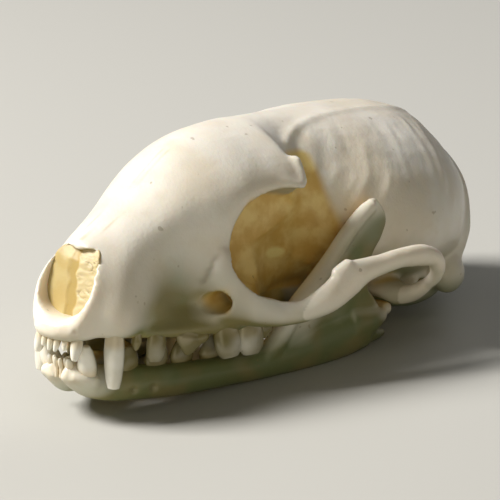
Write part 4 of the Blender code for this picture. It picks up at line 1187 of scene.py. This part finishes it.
    def build(self) -> bpy.types.Object:
        """Grow the half, trim it at the chin and floor, and put it on its side."""
        t = Bench.tube
        pieces = [t("body", list(self.body), sides=32), self.ramus(),
                  t("front_edge", list(self.front_edge), aim=(0, 1, 0)), t("condyle", list(self.condyle)),
                  t("condyle_neck", list(self.condyle_neck)), t("angle", list(self.angle)),
                  t("canine_root", list(self.canine_root))]
        bone = Bench.join(f"mandible_{self.side.word}_bone", pieces)
        Bench.melt(bone, self.voxel, 5)
        beside = (self.gap - self.midline_size[0]) / 2
        Bench.cut(bone, [Bench.ball("muscle_hollow", *self.muscle_hollow),
                         Bench.block("midline", (beside, *self.midline_centre), self.midline_size)])
        Bench.melt(bone, self.voxel, 2)
        self.sculpt(bone)
        bone.data.transform(Matrix.Diagonal((self.side.value, 1, 1, 1)))
        bone.data.transform(Matrix.Translation((JAW_SHIFT * MM, 0, 0)))
        self.trim(bone)
        if self.side is Side.RIGHT:
            Bench.outward(bone)
        self.marks(bone)
        return bone

    def trim(self, bone: bpy.types.Object) -> None:
        """Press what would reach under the ground up to its level."""
        step = pose()
        back = step.inverted()
        for vert in bone.data.vertices:
            place = step @ vert.co
            if place.z < 0:
                place.z = 0
                vert.co = back @ place


# Teeth


@dataclass(frozen=True)
class Crown:
    """How a cusp swells and narrows from its base to its tip."""

    belt: float
    shoulder: float
    point: float
    square: float = 1.0


PEG = Crown(0.35, 0.78, 0.45)
UPPER_FANG = Crown(0.30, 0.84, 0.58, 0.85)
LOWER_FANG = Crown(0.30, 0.70, 0.34)
CONE = Crown(0.22, 0.52, 0.16)
FULL_CONE = Crown(0.30, 0.70, 0.30)
MOUND = Crown(0.40, 0.75, 0.35)
BLADE = Crown(0.30, 0.90, 0.60)


@dataclass(frozen=True)
class Cusp:
    """One point of a tooth: base, half-widths across and along the row, and tip."""

    base: Point
    halves: tuple[float, float]
    tip: Point
    crown: Crown


UPPER: dict[str, list[Cusp]] = {
    "incisor_1": [Cusp((0.6, 1.2, 0.0), (0.42, 0.5), (0.5, 0.7, -1.9), PEG)],
    "incisor_2": [Cusp((1.7, 1.5, 0.0), (0.5, 0.55), (1.8, 1.0, -1.6), PEG)],
    "incisor_3": [Cusp((3.0, 2.1, 0.0), (0.75, 0.85), (3.2, 1.5, -2.7), PEG)],
    "canine": [Cusp((5.8, 5.9, 0.0), (1.26, 1.26), (6.25, 5.8, -6.2), UPPER_FANG)],
    "premolar_1": [Cusp((6.5, 9.3, -0.3), (0.65, 0.8), (6.6, 9.2, -1.7), CONE)],
    "premolar_2": [Cusp((6.9, 12.7, -0.3), (0.85, 1.7), (7.1, 12.5, -3.4), BLADE)],
    "premolar_3": [Cusp((8.4, 17.4, -0.3), (1.1, 2.4), (8.7, 16.8, -2.8), CONE),
                   Cusp((8.8, 19.0, -0.2), (1.0, 1.4), (9.0, 19.0, -1.5), MOUND)],
    "carnassial": [Cusp((10.1, 22.6, -0.2), (1.35, 2.3), (10.9, 22.9, -3.4), BLADE),
                   Cusp((10.8, 26.6, 0.0), (1.15, 2.4), (11.3, 26.7, -3.4), BLADE),
                   Cusp((8.3, 20.2, 0.2), (1.1, 1.2), (8.1, 20.1, -1.4), CONE)],
    "molar": [Cusp((10.1, 29.6, 0.3), (1.5, 1.4), (10.7, 29.6, -1.8), MOUND),
              Cusp((6.9, 29.4, 0.5), (1.8, 2.0), (6.7, 29.5, -0.9), MOUND)],
}
LOWER: dict[str, list[Cusp]] = {
    "incisor_1": [Cusp((0.4, 2.6, -4.2), (0.36, 0.45), (0.4, 2.0, -3.0), PEG)],
    "incisor_2": [Cusp((0.95, 3.1, -4.2), (0.42, 0.5), (0.95, 2.4, -2.9), PEG)],
    "incisor_3": [Cusp((1.55, 3.0, -4.3), (0.55, 0.55), (1.65, 2.2, -2.9), PEG)],
    "canine": [Cusp((2.85, 4.7, -5.0), (1.4, 1.25), (3.85, 3.1, -0.9), LOWER_FANG)],
    "premolar_1": [Cusp((4.0, 7.9, -4.6), (0.55, 0.7), (4.0, 7.8, -3.8), CONE)],
    "premolar_2": [Cusp((4.5, 10.6, -4.6), (0.8, 1.7), (4.6, 10.4, -1.7), FULL_CONE)],
    "premolar_3": [Cusp((5.3, 15.0, -4.5), (0.8, 2.1), (5.4, 14.9, -1.2), FULL_CONE)],
    "premolar_4": [Cusp((6.0, 19.2, -4.4), (0.9, 2.1), (6.1, 19.0, -1.2), FULL_CONE)],
    "carnassial": [Cusp((7.0, 23.6, -4.1), (1.0, 1.9), (7.1, 23.5, -1.3), CONE),
                   Cusp((7.5, 26.4, -3.9), (1.0, 1.9), (7.6, 26.3, -1.1), CONE),
                   Cusp((8.2, 29.0, -3.7), (0.9, 1.3), (8.2, 29.0, -2.7), MOUND)],
    "molar_2": [Cusp((9.1, 31.4, -3.3), (0.8, 0.9), (9.0, 31.4, -2.4), MOUND)],
}


@dataclass
class ToothRow:
    """The teeth of one jaw on one side."""

    name: str
    teeth: dict[str, list[Cusp]]
    side: Side
    rise: int
    shift: float = 0.0
    voxel: float = 0.11
    root: float = 1.5
    root_widths: tuple[float, float] = (0.7, 0.75)
    neck_width: float = 0.93
    neck_height: float = 1.6
    shoulder_at: float = 0.75
    tip_past: float = 0.02
    cheek: Region = Region(y=(7.5, 60, 2))
    blades: Region = Region(y=(22, 28.5, 2))
    canine: Region = Region(y=(3, 9, 1))

    def cusp(self, name: str, cusp: Cusp) -> bpy.types.Object:
        """Draw one cusp from its root to its tip."""
        base, tip, crown = Vector(cusp.base), Vector(cusp.tip), cusp.crown
        across, length = cusp.halves
        belly = base.lerp(tip, crown.belt)
        shoulder = base.lerp(tip, self.shoulder_at)
        end = tip + (tip - base).normalized() * self.tip_past
        wide, deep = self.root_widths
        stations = [(base.x, base.y, base.z - self.rise * self.root, across * wide, length * deep),
                    (*base, across * self.neck_width, length * self.neck_width), (*belly, across, length),
                    (*shoulder, across * crown.shoulder, length * crown.shoulder),
                    (*end, across * crown.point, length * crown.point)]
        return Bench.tube(name, flipped(stations, self.side), aim=(0, 1, 0), sides=24, per_span=6,
                          square=crown.square)

    def tooth(self, name: str, cusps: list[Cusp]) -> bpy.types.Object:
        """Grow a tooth from its cusps and ease it to enamel."""
        made = Bench.join(name, [self.cusp(name, c) for c in cusps])
        Bench.melt(made, self.voxel, 5)
        places, _ = Bench.arrays(made)
        level = float(np.mean([c.base[2] for c in cusps]))
        Bench.mark(made, "neck", np.clip(1 - (places[:, 2] - level) * self.rise / self.neck_height, 0, 1))
        return made

    def build(self) -> bpy.types.Object:
        """Stand the row's teeth in their places and store the painted olive shade on them."""
        row = Bench.join(self.name, [self.tooth(n, c) for n, c in self.teeth.items()])
        row.data.transform(Matrix.Translation((self.shift * MM, 0, 0)))
        places, normals = Bench.arrays(row)
        # Painted olive shade: strong on the cheek teeth, weaker on the carnassial blades, and on the canine's
        # rear faces that turn from the light.
        cloud = 0.95 + 0.4 * ripple(places, 3.0, 6.6) - 0.3 * self.blades.share(places)
        cheek = self.cheek.share(places) * cloud
        canine_back = self.canine.share(places) * np.clip(normals[:, 1] * 1.3 - 0.1, 0, 0.6)
        Bench.mark(row, "painted_shade", np.clip(np.maximum(cheek, canine_back), 0, 1))
        return row


# The setting


@dataclass(frozen=True)
class Lamp:
    """A square soft light that faces the skull, placed in metres."""

    name: str
    place: Point
    size: float
    power: float
    colour: Colour


@dataclass
class Setting:
    """The pale floor, the soft lights and the camera."""

    floor_size: float = 6.0
    turn: float = 38.81
    lift: float = 10.71
    roll: float = 4.18
    distance: float = 380.0
    focal: float = 2823.2
    target: Point = (1.53, 37.0, 7.66)
    image: int = 500
    sensor: float = 36.0
    floor_colour: Colour = (0.56, 0.555, 0.525)
    floor_roughness: float = 0.7
    sky_colour: Colour = (0.90, 0.90, 0.88)
    sky_strength: float = 0.08
    aim: Point = (0, 0, 0.015)
    lamps: tuple[Lamp, ...] = (
        Lamp("key", (-0.46, -0.42, 0.60), 0.28, 12.0, (1.0, 0.97, 0.925)),
        Lamp("fill", (0.62, -0.55, 0.26), 0.5, 0.85, (0.95, 0.88, 0.62)),
        Lamp("rim", (-0.2, 0.75, 0.45), 0.5, 0.8, (0.95, 0.97, 1.0)))

    def camera(self) -> None:
        """Stand the camera where the photograph was taken from."""
        a, e, r = (math.radians(v) for v in (self.turn, self.lift, self.roll))
        back = Vector((math.sin(a) * math.cos(e), -math.cos(a) * math.cos(e), math.sin(e)))
        right = Vector((math.cos(a), math.sin(a), 0))
        up = back.cross(right)
        across = right * math.cos(r) + up * math.sin(r)
        rise = up * math.cos(r) - right * math.sin(r)
        place = Matrix((across, rise, back)).transposed().to_4x4()
        place.translation = (Vector(self.target) + back * self.distance) * MM
        data = bpy.data.cameras.new("camera")
        data.sensor_width = self.sensor
        data.sensor_fit = "HORIZONTAL"
        data.lens = self.focal / self.image * data.sensor_width
        data.clip_start = 0.02
        data.clip_end = 20
        cam = bpy.data.objects.new("camera", data)
        bpy.context.scene.collection.objects.link(cam)
        cam.matrix_world = pose() @ place
        bpy.context.scene.camera = cam

    def hang(self, lamp: Lamp) -> None:
        """Hang a light and turn it to the skull."""
        data = bpy.data.lights.new(lamp.name, "AREA")
        data.size = lamp.size
        data.energy = lamp.power
        data.color = lamp.colour
        obj = bpy.data.objects.new(lamp.name, data)
        bpy.context.scene.collection.objects.link(obj)
        obj.location = lamp.place
        obj.rotation_euler = (Vector(self.aim) - Vector(lamp.place)).to_track_quat("-Z", "Y").to_euler()

    def build(self) -> None:
        """Lay the floor and set the lights and the camera."""
        bpy.ops.object.select_all(action="DESELECT")
        bpy.ops.mesh.primitive_plane_add(size=self.floor_size, location=(0, 0, 0))
        floor = bpy.context.object
        floor.name = "floor"
        t = Tree("pale_floor")
        t.shader.inputs["Base Color"].default_value = (*self.floor_colour, 1)
        t.shader.inputs["Roughness"].default_value = self.floor_roughness
        floor.data.materials.append(t.made)
        for lamp in self.lamps:
            self.hang(lamp)
        world = bpy.data.worlds.new("pale_sky")
        world.use_nodes = True
        sky = world.node_tree.nodes["Background"].inputs
        sky["Color"].default_value = (*self.sky_colour, 1)
        sky["Strength"].default_value = self.sky_strength
        bpy.context.scene.world = world
        bpy.context.scene.view_settings.view_transform = "Standard"
        self.camera()


def main() -> None:
    """Build the skull piece by piece and set it up for its picture."""
    logging.basicConfig(level=logging.INFO, format="%(name)s: %(message)s")
    face = Cranium()
    cranium = face.build()
    scrolls = NoseScrolls(face).build()
    jaws = {side: Mandible(side).build() for side in Side}
    rows: list[bpy.types.Object] = []
    for side in Side:
        rows.append(ToothRow(f"upper_teeth_{side.word}", UPPER, side, -1).build())
        rows.append(ToothRow(f"lower_teeth_{side.word}", LOWER, side, 1, JAW_SHIFT).build())
    # Painted recess shade: how shut in each point is, stored for the finishes to darken.
    for jaw in jaws.values():
        Bench.mark(jaw, "painted_recess_shade", shelter(jaw, [cranium], JAW_REACH))
    for row in rows:
        Bench.mark(row, "painted_recess_shade", shelter(row, [cranium, *jaws.values()], TOOTH_REACH, FEW_RAYS))
    Bench.mark(scrolls, "painted_recess_shade", shelter(scrolls, [cranium], SCROLL_REACH, FEW_RAYS))

    Bench.finish(cranium, BONE, "cranium_bone")
    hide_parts("cranium", "zygomatic_arch_left", "zygomatic_arch_right",
                "bulla_left", "bulla_right")
    Bench.finish(scrolls, SCROLLS, "cranium_bone")
    for side, jaw in jaws.items():
        Bench.finish(jaw, JAW_BONE, "jaw_bone")
        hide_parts(f"mandible_{side.word}")
    for row in rows:
        Bench.finish(row, ENAMEL, "cranium_bone" if row.name.startswith("upper") else "jaw_bone")
    Setting().build()


if __name__ == "__main__":
    main()
